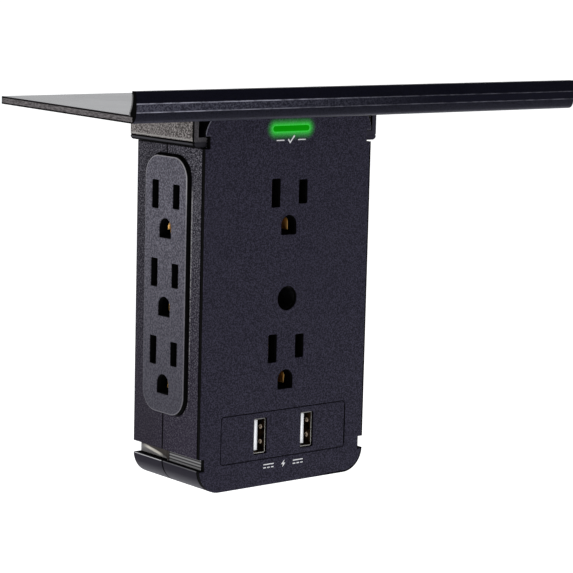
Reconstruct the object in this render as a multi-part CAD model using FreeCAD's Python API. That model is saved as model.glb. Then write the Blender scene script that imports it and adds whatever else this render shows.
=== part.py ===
import FreeCAD, Part
import math
import os

# Plug-in wall-tap surge protector with a slide-on shelf, in millimetres.
# +X is right seen from the front, +Y goes into the wall, +Z is up. The origin is on
# the axis of the centre mounting screw, in the plane of the wall plate (Y = 0).

# ---- driving dimensions: case ----
WIDTH, HEIGHT, DEPTH = 77.5, 138.8, 41.6
CORNER_R = 9.0
WALL = 2.2
PANEL_T = 1.7                    # separate front panel on the front shell
SEAM_Y = -17.7                   # joint between the front and rear shells
GROOVE_Z, GROOVE_H = 58.5, 4.4   # shelf grooves on both sides, top and bottom
GROOVE_DEEP, REAR_GROOVE_DEEP = 2.1, 3.5           # in the front panel and front shell, in the rear shell
BOSS_X, BOSS_Z, BOSS_R = 29.5, 62.6, 3.5           # the four case screws

# ---- driving dimensions: outlets (NEMA 5-15 spacings) ----
SLOT_PITCH, GROUND_DROP = 12.7, 11.9
SLOT_W, NEUTRAL_H, HOT_H = 4.1, 10.5, 8.9          # openings in the outer faces
GROUND_HALF, GROUND_FLAT = 3.6, 3.7                # round top, flat bottom
INNER_SLOT_W, INNER_NEUTRAL_H, INNER_HOT_H, INNER_GROUND_HALF = 2.6, 9.2, 7.4, 2.75
FRONT_ROWS = (39.1, -18.3)
SIDE_ROWS = (37.8, 9.1, -19.6)
STRIP_Y, STRIP_Z, STRIP_W, STRIP_H, STRIP_R = -20.2, 4.9, 25.5, 94.6, 8.0
STRIP_FACE_X = 40.4              # outer face of a raised side strip

# ---- driving dimensions: front details ----
SCREW_HOLE_R = 4.5
LED_Z, LED_W, LED_H = 62.4, 16.8, 2.1
USB_X, USB_Z, USB_W, USB_H, USB_RECESS = 11.05, -50.5, 5.7, 13.1, 0.8
FRAME_W, FRAME_Z, FRAME_H, FRAME_R = 59.0, -50.45, 18.1, 1.2   # engraved outline round the USB sockets
FRAME_LINE, FRAME_DEEP = 0.35, 0.3

# ---- driving dimensions: prongs and mounting screw ----
PRONG_Z, STABILISER_Z = 24.6, -26.2
BLADE_T, BLADE_W, BLADE_OUT = 1.52, 6.35, 16.5
GROUND_PIN_R, GROUND_PIN_OUT, STABILISER_R, TANG_HALF = 2.38, 19.5, 2.35, 2.45
SCREW_R, SCREW_NECK_R, SCREW_HEAD_R, SCREW_HEAD_T = 1.75, 1.35, 3.4, 2.2
SEAT_FRONT, SEAT_BACK = -9.0, -6.5                 # web in the tube that the head bears on
RETAINER_T = 0.8

# ---- driving dimensions: shelf ----
SHELF_HALF, SHELF_FRONT, SHELF_REAR = 100.3, -86.1, -4.7
BOARD_Z, BOARD_T, BOARD_SLOPE = 71.2, 2.7, 0.74    # underside at the rear edge; degrees down to the front
LIP_LOW, LIP_HIGH, LIP_T, LIP_TOP_T = 70.1, 80.7, 4.3, 2.8
LIP_BITE, TONGUE_STEP = 2.5, 0.3                   # rebate's face behind the lip's face, step on the board
BRACKET_HALF, BRACKET_WALL, BRACKET_WEB, BRACKET_LIP_H = 42.6, 2.1, 1.45, 3.6
BRACKET_FRONT, BRACKET_REAR, BRACKET_LOW = -39.8, -0.7, 56.7
BRACKET_LINE_Z, BRACKET_LINE_H, BRACKET_LINE_DEEP = 58.5, 0.4, 0.3

FRONT = -DEPTH
PANEL_BACK = FRONT + PANEL_T
INNER_FRONT = PANEL_BACK + 1.7
HALF_W, HALF_H = WIDTH / 2, HEIGHT / 2
IN_W, IN_H, IN_R = HALF_W - WALL, HALF_H - WALL, CORNER_R - WALL


# ---- helpers ----
def at(axis, u, v, t):
    """Point from in-plane (u, v) and distance t along axis: y -> (x, z), x -> (y, z), z -> (x, y)."""
    return {"x": FreeCAD.Vector(t, u, v), "y": FreeCAD.Vector(u, t, v), "z": FreeCAD.Vector(u, v, t)}[axis]


def box(x0, x1, y0, y1, z0, z1):
    return Part.makeBox(x1 - x0, y1 - y0, z1 - z0, FreeCAD.Vector(x0, y0, z0))


def rod(axis, u, v, r, lo, hi):
    return Part.makeCylinder(r, hi - lo, at(axis, u, v, lo), at(axis, 0, 0, 1))


def tube(axis, u, v, r, bore, lo, hi):
    return rod(axis, u, v, r, lo, hi).cut(rod(axis, u, v, bore, lo - 1, hi + 1))


def slab(axis, u, v, w, h, r, lo, hi):
    """Rectangular plate with rounded corners, w by h in the plane across axis."""
    a, b, c = w / 2, h / 2, r * (1 - math.sqrt(0.5))
    points = []
    for su, sv in ((1, 1), (-1, 1), (-1, -1), (1, -1)):
        arc = [(su * a, sv * (b - r)), (su * (a - c), sv * (b - c)), (su * (a - r), sv * b)]
        points += arc if su * sv > 0 else arc[::-1]
    points = [at(axis, u + pu, v + pv, lo) for pu, pv in points]
    edges = []
    for i in range(0, 12, 3):
        edges.append(Part.Arc(*points[i:i + 3]).toShape())
        start, end = points[i + 2], points[(i + 3) % 12]
        if start.distanceToPoint(end) > 1e-6:
            edges.append(Part.makeLine(start, end))
    return Part.Face(Part.Wire(edges)).extrude(at(axis, 0, 0, hi - lo))


def prism(axis, outline, lo, hi):
    points = [at(axis, u, v, lo) for u, v in outline]
    return Part.Face(Part.makePolygon(points + points[:1])).extrude(at(axis, 0, 0, hi - lo))


def joined(shapes):
    first, rest = shapes[0], list(shapes[1:])
    return first.fuse(rest).removeSplitter() if rest else first


def mirror_x(shape):
    return shape.mirror(FreeCAD.Vector(0, 0, 0), FreeCAD.Vector(1, 0, 0))


def swept_wire(points, r):
    """Round insulated lead along straight runs, with ball-shaped bends."""
    pieces = []
    for a, b in zip(points, points[1:]):
        a, b = FreeCAD.Vector(*a), FreeCAD.Vector(*b)
        pieces.append(Part.makeCylinder(r, a.distanceToPoint(b), a, b - a))
    pieces += [Part.makeSphere(r, FreeCAD.Vector(*p)) for p in points[1:-1]]
    return joined(pieces)


# ---- outlet openings ----
def outlet(axis, u, v, turn, lo, hi, inner=False):
    """Two slots and a ground hole. turn = 1 puts the hot slot towards +u, -1 towards -u."""
    w, tall, short, half = ((INNER_SLOT_W, INNER_NEUTRAL_H, INNER_HOT_H, INNER_GROUND_HALF) if inner
                            else (SLOT_W, NEUTRAL_H, HOT_H, GROUND_HALF))
    side, drop = turn * SLOT_PITCH / 2, v - GROUND_DROP
    flat = GROUND_FLAT if not inner else 2.8
    lower = slab(axis, u, drop - flat / 2, 2 * half, flat, 0.4, lo, hi)
    dome = rod(axis, u, drop, half, lo, hi)
    return [slab(axis, u - side, v, w, tall, 0.5, lo, hi), slab(axis, u + side, v, w, short, 0.5, lo, hi),
            lower.fuse(dome)]


def contact_pockets(axis, u, v, turn, lo, hi):
    side = turn * SLOT_PITCH / 2
    pocket = [slab(axis, u + s, v, 5.2, 11.2, 0.5, lo, hi) for s in (-side, side)]
    return pocket + [slab(axis, u, v - GROUND_DROP, 7.2, 7.2, 0.5, lo, hi)]


# ---- case ----
def case_block(lo, hi, deep=GROOVE_DEEP):
    """Solid outline of the case between two depths, with the shelf grooves cut."""
    block = slab("y", 0, 0, WIDTH, HEIGHT, CORNER_R, lo, hi)
    grooves = [box(sx * HALF_W - deep, sx * HALF_W + deep, lo - 1, hi + 1,
                   sz * GROOVE_Z - GROOVE_H / 2, sz * GROOVE_Z + GROOVE_H / 2)
               for sx in (-1, 1) for sz in (-1, 1)]
    return block.cut(grooves)


def case_cavity(lo, hi, deep=GROOVE_DEEP):
    """Space inside the walls; the wall is thickened inwards behind each groove."""
    space = slab("y", 0, 0, 2 * IN_W, 2 * IN_H, IN_R, lo, hi)
    inward = deep + 1.9
    ribs = [box(sx * HALF_W - inward, sx * HALF_W + inward, lo - 1, hi + 1,
                sz * GROOVE_Z - GROOVE_H / 2 - 1.8, sz * GROOVE_Z + GROOVE_H / 2 + 1.8)
            for sx in (-1, 1) for sz in (-1, 1)]
    return space.cut(ribs)


def strip_openings():
    return [slab("x", STRIP_Y, STRIP_Z, STRIP_W + 0.2, STRIP_H + 0.2, STRIP_R + 0.1, lo, hi)
            for lo, hi in ((-HALF_W - 3, -34.0), (34.0, HALF_W + 3))]


def corners():
    return [(sx * BOSS_X, sz * BOSS_Z) for sx in (-1, 1) for sz in (-1, 1)]


BOARD_SCREWS = [(sx * 15.5, sz * 61.5) for sx in (-1, 1) for sz in (-1, 1)]
BOARD_Y = -13.6                  # front face of the surge board
BOARD_THICK = 1.6


def make_rear_shell():
    shell = case_block(SEAM_Y, 0, REAR_GROOVE_DEEP).cut(case_cavity(SEAM_Y - 1, -WALL, REAR_GROOVE_DEEP))
    shell = shell.cut(strip_openings())
    bosses = [rod("y", x, z, BOSS_R, SEAM_Y, -1) for x, z in corners()]
    posts = [rod("y", x, z, 2.6, BOARD_Y + BOARD_THICK, -1) for x, z in BOARD_SCREWS]
    screw_tube = rod("y", 0, 0, SCREW_HOLE_R + 1.8, INNER_FRONT - 1.6, -1)
    shell = joined([shell] + bosses + posts + [screw_tube])
    cuts = []
    for x, z in corners():
        cuts += [rod("y", x, z, 2.9, -9.0, 1), rod("y", x, z, 1.7, SEAM_Y - 1, -8)]
    cuts += [rod("y", x, z, 1.15, BOARD_Y, -5.0) for x, z in BOARD_SCREWS]
    cuts += [rod("y", 0, 0, SCREW_HOLE_R, FRONT, SEAT_FRONT), rod("y", 0, 0, 1.95, -20, 1),
             rod("y", 0, 0, 5.2, SEAT_BACK, 1)]
    cuts += [box(sx * 6.35 - BLADE_T / 2 - 0.05, sx * 6.35 + BLADE_T / 2 + 0.05, -5, 1,
                 PRONG_Z - BLADE_W / 2 - 0.05, PRONG_Z + BLADE_W / 2 + 0.05) for sx in (-1, 1)]
    hole = TANG_HALF + 0.05
    cuts += [box(-hole, hole, -5, 1, z - hole, z + hole) for z in (PRONG_Z - GROUND_DROP, STABILISER_Z)]
    return shell.cut(cuts)


def make_front_shell():
    shell = case_block(PANEL_BACK, SEAM_Y).cut(case_cavity(INNER_FRONT, SEAM_Y + 1))
    shell = shell.cut(strip_openings())
    bosses = [rod("y", x, z, BOSS_R, INNER_FRONT - 1, SEAM_Y) for x, z in corners()]
    shell = joined([shell] + bosses)
    cuts = [rod("y", x, z, 1.3, -34.0, SEAM_Y + 1) for x, z in corners()]
    cuts += [slab("y", 0, z - 5.0, 27.0, 27.0, 2.0, FRONT, INNER_FRONT + 1) for z in FRONT_ROWS]
    cuts += [rod("y", 0, 0, SCREW_HOLE_R + 1.95, FRONT, INNER_FRONT + 1),
             slab("y", 0, LED_Z, LED_W + 3.4, 5.4, 1.0, FRONT, INNER_FRONT + 1)]
    cuts += [slab("y", sx * USB_X, USB_Z, USB_W + 0.8, USB_H + 0.8, 0.6, FRONT, INNER_FRONT + 1)
             for sx in (-1, 1)]
    return shell.cut(cuts)


def make_front_panel():
    plate = slab("y", 0, 0, WIDTH, HEIGHT, CORNER_R, FRONT, PANEL_BACK)
    rim = [e for e in plate.Edges if all(abs(v.Y - FRONT) < 1e-6 for v in e.Vertexes)]
    plate = plate.makeFillet(0.5, rim).common(case_block(FRONT - 1, PANEL_BACK + 1))
    cuts = [c for z in FRONT_ROWS for c in outlet("y", 0, z, 1, FRONT - 1, PANEL_BACK + 1)]
    cuts += [rod("y", 0, 0, SCREW_HOLE_R, FRONT - 1, PANEL_BACK + 1),
             slab("y", 0, LED_Z, LED_W, LED_H, LED_H / 2 - 0.01, FRONT - 1, PANEL_BACK + 1)]
    cuts += [slab("y", sx * USB_X, USB_Z, USB_W + 0.4, USB_H + 0.4, 0.5, FRONT - 1, PANEL_BACK + 1)
             for sx in (-1, 1)]
    outline = slab("y", 0, FRAME_Z, FRAME_W, FRAME_H, FRAME_R, FRONT - 1, FRONT + FRAME_DEEP)
    island = slab("y", 0, FRAME_Z, FRAME_W - 2 * FRAME_LINE, FRAME_H - 2 * FRAME_LINE, FRAME_R - FRAME_LINE,
                  FRONT - 2, FRONT + 1)
    cuts.append(outline.cut(island))
    return plate.cut(cuts)


def make_strip(side):
    """Raised outlet strip that plugs through the side wall and is held by its inner flange."""
    plug = slab("x", STRIP_Y, STRIP_Z, STRIP_W, STRIP_H, STRIP_R, IN_W - 0.2, STRIP_FACE_X)
    rim = [e for e in plug.Edges if all(abs(v.X - STRIP_FACE_X) < 1e-6 for v in e.Vertexes)]
    plug = plug.makeFillet(0.6, rim)
    flange = slab("x", STRIP_Y, STRIP_Z, STRIP_W + 3, STRIP_H + 3, STRIP_R + 1.5, IN_W - 1.6, IN_W - 0.1)
    strip = plug.fuse(flange)
    strip = strip.cut(slab("x", STRIP_Y, STRIP_Z, STRIP_W - 4, STRIP_H - 4, STRIP_R - 2,
                           IN_W - 3, STRIP_FACE_X - 2.0))
    # on the left face the hot slot is towards the front, on the right face towards the wall
    strip = strip.cut([c for z in SIDE_ROWS for c in outlet("x", STRIP_Y, z, side, 30, STRIP_FACE_X + 1)])
    return strip if side > 0 else mirror_x(strip)


# ---- contact carriers and bus bars ----
SIDE_BACK = 22.0                 # inner face of a side carrier
FRONT_BACK = -24.6               # inner face of a front carrier
CONTACT_DEPTH = 4.6              # tips of the contact leaves behind the outer face


def make_side_carrier(side):
    carrier = slab("x", STRIP_Y, STRIP_Z, STRIP_W - 4.4, STRIP_H - 4.4, STRIP_R - 2.2,
                   SIDE_BACK, STRIP_FACE_X - 2.05)
    cuts = []
    for z in SIDE_ROWS:
        cuts += outlet("x", STRIP_Y, z, side, SIDE_BACK, 45, inner=True)
        cuts += contact_pockets("x", STRIP_Y, z, side, SIDE_BACK - 1, STRIP_FACE_X - 4.2)
    carrier = carrier.cut(cuts)
    return carrier if side > 0 else mirror_x(carrier)


def make_front_carrier(z):
    carrier = slab("y", 0, z - 5.0, 26.6, 26.6, 2.0, PANEL_BACK + 0.05, FRONT_BACK)
    cuts = outlet("y", 0, z, 1, FRONT - 1, FRONT_BACK, inner=True)
    return carrier.cut(cuts + contact_pockets("y", 0, z, 1, PANEL_BACK + 2.2, FRONT_BACK + 1))


def leaves(axis, u, v, gap, height, root, tip):
    """A pair of contact leaves either side of a blade, with flared tips."""
    step = 1 if tip > root else -1
    shapes = []
    for s in (-1, 1):
        u0, u1 = sorted((u + s * gap / 2, u + s * (gap / 2 + 0.5)))
        outline = [(u0, root), (u1, root), (u1, tip - step * 1.2), (u1 + s * 0.5, tip),
                   (u0 + s * 0.5, tip), (u0, tip - step * 1.2)]
        face = [at(axis, pu, v - height / 2, pt) for pu, pt in outline]
        shapes.append(Part.Face(Part.makePolygon(face + face[:1])).extrude(at(axis, 0, height, 0)))
    return shapes


def make_side_bus(side, role):
    offset = {"neutral": -side * SLOT_PITCH / 2, "hot": side * SLOT_PITCH / 2, "ground": 0}[role]
    drop, gap, height = (GROUND_DROP, 5.0, 5.0) if role == "ground" else (0, 1.2, 7.0)
    y = STRIP_Y + offset
    low, high = min(SIDE_ROWS) - drop - 5, max(SIDE_ROWS) - drop + 5
    half = 2.0 if role != "ground" else 2.9
    strip = box(SIDE_BACK - 0.9, SIDE_BACK - 0.1, y - half, y + half, low, high)
    parts = [strip]
    for z in SIDE_ROWS:
        parts += leaves("x", y, z - drop, gap, height, SIDE_BACK - 0.5, STRIP_FACE_X - CONTACT_DEPTH)
    bus = joined(parts)
    return bus if side > 0 else mirror_x(bus)


def make_front_bus(role):
    side = {"neutral": -1, "hot": 1, "ground": 0}[role]
    drop, gap, height = (GROUND_DROP, 5.0, 5.0) if role == "ground" else (0, 1.2, 7.0)
    x = side * SLOT_PITCH / 2
    rail = FRONT_BACK + 0.1 if side else FRONT_BACK + 1.9
    low, high = min(FRONT_ROWS) - drop - 2, max(FRONT_ROWS) - drop + 2
    rail_x = 10.5 * side if side else -15.5
    parts = [box(rail_x - 1.7, rail_x + 1.7, rail, rail + 0.8, low, high)]
    for z in FRONT_ROWS:
        reach = sorted((rail_x, x + (2.9 if not side else side * -2.0)))
        parts.append(box(reach[0], reach[1], rail, rail + 0.8, z - drop - 2, z - drop + 2))
        parts += leaves("y", x, z - drop, gap, height, rail + 0.4, FRONT + CONTACT_DEPTH)
    return joined(parts)


# ---- prongs ----
def make_blade(side):
    """Flat blade with a chamfered free end and a shoulder behind the wall plate."""
    x = side * SLOT_PITCH / 2
    h, tip = BLADE_W / 2, 1.2
    outline = [(-11.6, PRONG_Z - h), (BLADE_OUT - tip, PRONG_Z - h), (BLADE_OUT, PRONG_Z - h + tip),
               (BLADE_OUT, PRONG_Z + h - tip), (BLADE_OUT - tip, PRONG_Z + h), (-11.6, PRONG_Z + h)]
    blade = prism("x", outline, x - BLADE_T / 2, x + BLADE_T / 2)
    shoulder = box(x - BLADE_T / 2, x + BLADE_T / 2, -9.0, -7.6, PRONG_Z - h - 1.3, PRONG_Z + h + 1.3)
    return joined([blade, shoulder])


def make_round_pin(z, r, out, root):
    """Round pin with a ball nose, on a square tang that ends just outside the wall plate."""
    tang = box(-TANG_HALF, TANG_HALF, root, 0.1, z - TANG_HALF, z + TANG_HALF)
    shank = rod("y", 0, z, r, 0.1, out - r)
    nose = Part.makeSphere(r, FreeCAD.Vector(0, out - r, z))
    return joined([tang, shank, nose])


def make_ground_pin():
    z = PRONG_Z - GROUND_DROP
    flange = box(-2.8, 2.8, -9.0, -7.6, z - 2.8, z + 2.8)
    return joined([make_round_pin(z, GROUND_PIN_R, GROUND_PIN_OUT, -9.0), flange])


def make_stabiliser():
    flange = box(-4.0, 4.0, -4.2, -WALL - 0.1, STABILISER_Z - 4.0, STABILISER_Z + 4.0)
    return joined([make_round_pin(STABILISER_Z, STABILISER_R, GROUND_PIN_OUT, -6.0), flange])


def make_prong_block():
    """Insulating block pressed over the roots of the three live prongs."""
    ground_z = PRONG_Z - GROUND_DROP
    block = slab("y", 0, (PRONG_Z + ground_z) / 2 + 0.9, 21.0, 20.2, 2.0, -7.5, -WALL - 0.1)
    cuts = [box(sx * 6.35 - BLADE_T / 2 - 0.05, sx * 6.35 + BLADE_T / 2 + 0.05, -10, 0,
                PRONG_Z - BLADE_W / 2 - 0.05, PRONG_Z + BLADE_W / 2 + 0.05) for sx in (-1, 1)]
    hole = TANG_HALF + 0.05
    return block.cut(cuts + [box(-hole, hole, -10, 0, ground_z - hole, ground_z + hole)])


# ---- mounting screw ----
def make_mounting_screw():
    head = rod("y", 0, 0, SCREW_HEAD_R, SEAT_FRONT - SCREW_HEAD_T, SEAT_FRONT)
    rim = [e for e in head.Edges if len(e.Vertexes) == 1 and abs(e.Vertexes[0].Y + SCREW_HEAD_T - SEAT_FRONT) < 1e-6]
    head = head.makeFillet(0.8, rim)
    neck = rod("y", 0, 0, SCREW_NECK_R, SEAT_FRONT, -0.5)
    thread = rod("y", 0, 0, SCREW_R, -0.5, 12.6)
    tip = Part.makeCone(SCREW_R, SCREW_R - 0.6, 0.6, FreeCAD.Vector(0, 12.6, 0), FreeCAD.Vector(0, 1, 0))
    screw = joined([head, neck, thread, tip])
    y0, y1 = SEAT_FRONT - SCREW_HEAD_T - 1, SEAT_FRONT - 0.9
    return screw.cut([box(-2.0, 2.0, y0, y1, -0.45, 0.45), box(-0.45, 0.45, y0, y1, -2.0, 2.0)])


def make_retainer():
    """Captive ring on the screw's neck, in front of the shoulder of the threaded end."""
    ring = tube("y", 0, 0, 3.4, SCREW_NECK_R + 0.05, -1.7, -1.7 + RETAINER_T)
    notches = []
    for k in range(6):
        a = math.radians(60 * k)
        notches.append(rod("y", 3.6 * math.cos(a), 3.6 * math.sin(a), 0.55, -3, 0))
    return ring.cut(notches)


# ---- fasteners ----
def make_case_screws():
    screws = []
    for x, z in corners():
        body = joined([rod("y", x, z, 2.6, -9.0, -7.0), rod("y", x, z, 1.25, -32.0, -8.0)])
        screws.append(body.cut([box(x - 1.5, x + 1.5, -7.9, -6, z - 0.35, z + 0.35),
                                box(x - 0.35, x + 0.35, -7.9, -6, z - 1.5, z + 1.5)]))
    return Part.makeCompound(screws)


def make_board_screws():
    screws = []
    for x, z in BOARD_SCREWS:
        body = joined([rod("y", x, z, 2.2, BOARD_Y - 1.5, BOARD_Y), rod("y", x, z, 1.1, BOARD_Y - 1, -6.0)])
        screws.append(body.cut(box(x - 1.4, x + 1.4, BOARD_Y - 2, BOARD_Y - 0.8, z - 0.35, z + 0.35)))
    return Part.makeCompound(screws)


SHELF_SCREWS = [(sx * 32.0, y) for sx in (-1, 1) for y in (-33.0, -8.0)]


def make_shelf_screws():
    """Countersunk screws up through the bracket's web into blind holes in the board."""
    screws = []
    web = BOARD_Z - BRACKET_WEB
    for x, y in SHELF_SCREWS:
        head = Part.makeCone(2.05, 1.1, 0.7, FreeCAD.Vector(x, y, web + 0.02))
        body = joined([head, rod("z", x, y, 1.1, web + 0.5, BOARD_Z + 1.6)])
        screws.append(body.cut(box(x - 1.3, x + 1.3, y - 0.25, y + 0.25, web - 1, web + 0.4)))
    return Part.makeCompound(screws)


# ---- shelf ----
def sloped(shape):
    """Tilts a level shape about the board's rear lower edge, front end down."""
    shape.rotate(FreeCAD.Vector(0, SHELF_REAR, BOARD_Z), FreeCAD.Vector(1, 0, 0), BOARD_SLOPE)
    return shape


def make_board():
    """Flat board that slopes a little, with a thinner tongue along its front edge for the lip's rebate."""
    back_of_lip = SHELF_FRONT + LIP_T
    board = slab("z", 0, (SHELF_FRONT + LIP_BITE + SHELF_REAR) / 2, 2 * SHELF_HALF,
                 SHELF_REAR - SHELF_FRONT - LIP_BITE, 0.6, BOARD_Z, BOARD_Z + BOARD_T)
    step = box(-SHELF_HALF - 1, SHELF_HALF + 1, SHELF_FRONT, back_of_lip + 0.1,
               BOARD_Z + BOARD_T - TONGUE_STEP, BOARD_Z + BOARD_T + 1)
    holes = [rod("z", x, y, 1.15, BOARD_Z - 1, BOARD_Z + 1.8) for x, y in SHELF_SCREWS]
    return sloped(board.cut(step)).cut(holes)


def make_lip():
    """Upright front rail: two flat facets over a rolled lower edge, a back that thickens downwards
    and a rebate under it for the board."""
    y0, y1, z0, z1 = SHELF_FRONT, SHELF_FRONT + LIP_T, LIP_LOW, LIP_HIGH

    def p(y, z):
        return FreeCAD.Vector(-SHELF_HALF, y, z)

    upper, lower, foot = p(y0 + 0.05, z0 + 6.5), p(y0 + 0.1, z0 + 3.7), p(y0 + 2.9, z0)
    nose, crest = p(y0 + 0.45, z1 - 0.45), p(y0 + LIP_TOP_T, z1)
    edges = [Part.Arc(p(y0 + 0.9, z1), p(y0 + 0.58, z1 - 0.13), nose).toShape(), Part.makeLine(nose, upper),
             Part.makeLine(upper, lower), Part.Arc(lower, p(y0 + 0.75, z0 + 1.25), foot).toShape(),
             Part.makeLine(foot, p(y1, z0)), Part.makeLine(p(y1, z0), p(y1, z0 + 3.4)),
             Part.Arc(p(y1, z0 + 3.4), p(y0 + LIP_TOP_T + 0.35, z0 + 5.6), crest).toShape(),
             Part.makeLine(crest, p(y0 + 0.9, z1))]
    solid = Part.Face(Part.Wire(edges)).extrude(FreeCAD.Vector(2 * SHELF_HALF, 0, 0))
    return solid.cut(sloped(box(-SHELF_HALF - 1, SHELF_HALF + 1, y0 + LIP_BITE - 0.05, y1 + 5,
                                BOARD_Z - 3, BOARD_Z + BOARD_T - TONGUE_STEP + 0.05)))


def make_bracket():
    """C-channel under the board whose inward lips run in the case grooves. A fine groove
    along each side parts the flat wall from the rounded rail below it."""
    half, low, top, r = BRACKET_HALF, BRACKET_LOW, BOARD_Z, 1.6
    web, lip_top = top - BRACKET_WEB, low + BRACKET_LIP_H
    lip_in = HALF_W - GROOVE_DEEP + 0.35
    y0, y1 = BRACKET_FRONT, BRACKET_REAR
    outline = slab("y", 0, (low + top + 6) / 2, 2 * half, top + 6 - low, r, y0, y1)
    outline = outline.cut(sloped(box(-half - 1, half + 1, y0 - 5, y1 + 5, top, top + 12)))
    inner = half - BRACKET_WALL
    cuts = [box(-inner, inner, y0 - 1, y1 + 1, lip_top, web), box(-lip_in, lip_in, y0 - 1, y1 + 1, low - 1, web)]
    deep, rise = BRACKET_LINE_DEEP, BRACKET_LINE_H / 2
    cuts += [box(s * half - deep, s * half + deep, y0 - 1, y1 + 1, BRACKET_LINE_Z - rise, BRACKET_LINE_Z + rise)
             for s in (-1, 1)]
    for x, y in SHELF_SCREWS:
        cuts += [rod("z", x, y, 1.2, web - 1, top + 1),
                 Part.makeCone(2.2, 1.2, 0.75, FreeCAD.Vector(x, y, web))]
    return outline.cut(cuts)


# ---- status light ----
def make_led_lens():
    face = slab("y", 0, LED_Z, LED_W - 0.1, LED_H - 0.1, LED_H / 2 - 0.06, FRONT - 0.1, PANEL_BACK + 0.1)
    flange = slab("y", 0, LED_Z, LED_W + 2.6, 4.6, 0.8, PANEL_BACK + 0.05, PANEL_BACK + 1.2)
    stem = slab("y", 0, LED_Z, 5.0, 3.0, 0.5, PANEL_BACK + 1, -25.0)
    return joined([face, flange, stem])


def make_status_led():
    dome = Part.makeSphere(1.5, FreeCAD.Vector(0, -22.7, LED_Z))
    body = joined([rod("y", 0, LED_Z, 1.5, -22.7, -19.6), dome, rod("y", 0, LED_Z, 1.9, -20.4, -19.6)])
    legs = [box(sx * 0.9 - 0.25, sx * 0.9 + 0.25, -20.0, BOARD_Y - 0.02, LED_Z - 0.25, LED_Z + 0.25) for sx in (-1, 1)]
    return joined([body] + legs)


# ---- surge board and what stands on it ----
def make_surge_board():
    board = slab("y", 0, 0, 39.0, 131.0, 1.5, BOARD_Y, BOARD_Y + BOARD_THICK)
    cuts = [rod("y", x, z, 1.3, -20, 0) for x, z in BOARD_SCREWS]
    return board.cut(cuts + [rod("y", 0, 0, SCREW_HOLE_R + 2.3, -20, 0)])


def make_varistor(x, z):
    """Disc varistor lying parallel to the board on two short legs."""
    disc = rod("y", x, z, 5.6, -20.6, -16.6)
    rims = [e for e in disc.Edges if len(e.Vertexes) == 1]
    disc = disc.makeFillet(1.2, rims)
    legs = [rod("y", x + s * 2.6, z, 0.4, -17.0, BOARD_Y - 0.02) for s in (-1, 1)]
    return joined([disc] + legs)


def make_thermal_fuse():
    """Round fuse body on one bent lead that goes down into the board at both ends."""
    y, z, foot = -16.2, -27.5, BOARD_Y - 0.02
    lead = swept_wire([(-8.6, foot, z), (-8.6, y, z), (8.6, y, z), (8.6, foot, z)], 0.4)
    return joined([rod("x", y, z, 1.6, -5.0, 5.0), lead])


def make_x_capacitor():
    body = slab("y", 0, 53.2, 18.0, 8.0, 0.8, -26.6, -15.0)
    legs = [rod("y", s * 7.5, 53.2, 0.4, -15.5, BOARD_Y - 0.02) for s in (-1, 1)]
    return joined([body] + legs)


CHOKE_Z, CHOKE_Y = -41.0, -18.4


def make_choke_core():
    return tube("y", 0, CHOKE_Z, 6.0, 3.2, CHOKE_Y - 2.2, CHOKE_Y + 2.2)


def make_choke_winding():
    """Turns of wire wrapped round two arcs of the ring core, one solid per arc."""
    coils = []
    for start in (25, 205):
        turns = []
        for k in range(6):
            a = math.radians(start + 26 * k)
            frame = box(2.4, 6.8, CHOKE_Y - 3.0, CHOKE_Y + 3.0, -0.5, 0.5)
            hole = box(3.15, 6.05, CHOKE_Y - 2.25, CHOKE_Y + 2.25, -2, 2)
            turn = frame.cut(hole)
            turn.rotate(FreeCAD.Vector(0, 0, 0), FreeCAD.Vector(0, -1, 0), math.degrees(a))
            turn.translate(FreeCAD.Vector(0, 0, CHOKE_Z))
            turns.append(turn)
        arc = tube("y", 0, CHOKE_Z, 6.8, 6.1, CHOKE_Y - 0.35, CHOKE_Y + 0.35)
        a0, a1 = math.radians(start), math.radians(start + 130)
        wedge = prism("y", [(0, CHOKE_Z)] + [(12 * math.cos(a0 + (a1 - a0) * t / 6),
                                              CHOKE_Z + 12 * math.sin(a0 + (a1 - a0) * t / 6))
                                             for t in range(7)], -25, -10)
        coils.append(joined(turns + [arc.common(wedge)]))
    return Part.makeCompound(coils)


# ---- USB supply ----
USB_BOARD_Y = -26.0              # front face of the supply board
USB_FRONT = FRONT + USB_RECESS


def make_usb_board():
    return slab("y", 0, -52.0, 40.0, 25.0, 1.0, USB_BOARD_Y, USB_BOARD_Y + 1.2)


def make_usb_shell(side):
    """Folded steel shell of a USB-A socket, long side upright."""
    x = side * USB_X
    outer = slab("y", x, USB_Z, USB_W, USB_H, 0.5, USB_FRONT, USB_BOARD_Y - 0.02)
    shell = outer.cut(slab("y", x, USB_Z, USB_W - 0.7, USB_H - 0.7, 0.3, USB_FRONT - 1, USB_BOARD_Y - 1.0))
    dimples = [box(x - 4, x + 4, USB_FRONT + 4.0, USB_FRONT + 6.2, USB_Z + s * 3.2 - 0.7, USB_Z + s * 3.2 + 0.7)
               for s in (-1, 1)]
    return shell.cut(dimples)


def make_usb_tongue(side):
    """Insulator: a base in the shell's end and a tongue beside the outer wall."""
    x = side * USB_X
    base = box(x - 2.4, x + 2.4, USB_BOARD_Y - 5.0, USB_BOARD_Y - 1.1, USB_Z - 6.1, USB_Z + 6.1)
    tongue = box(x - 1.7, x + 0.1, USB_FRONT + 1.4, USB_BOARD_Y - 4.5, USB_Z - 5.6, USB_Z + 5.6)
    return joined([base, tongue])


def make_usb_contacts(side):
    x = side * USB_X
    strips = [box(x + 0.12, x + 0.42, USB_FRONT + 2.0, USB_BOARD_Y - 5.02, USB_Z + c - 0.5, USB_Z + c + 0.5)
              for c in (-3.5, -1.0, 1.0, 3.5)]
    return Part.makeCompound(strips)


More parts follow.
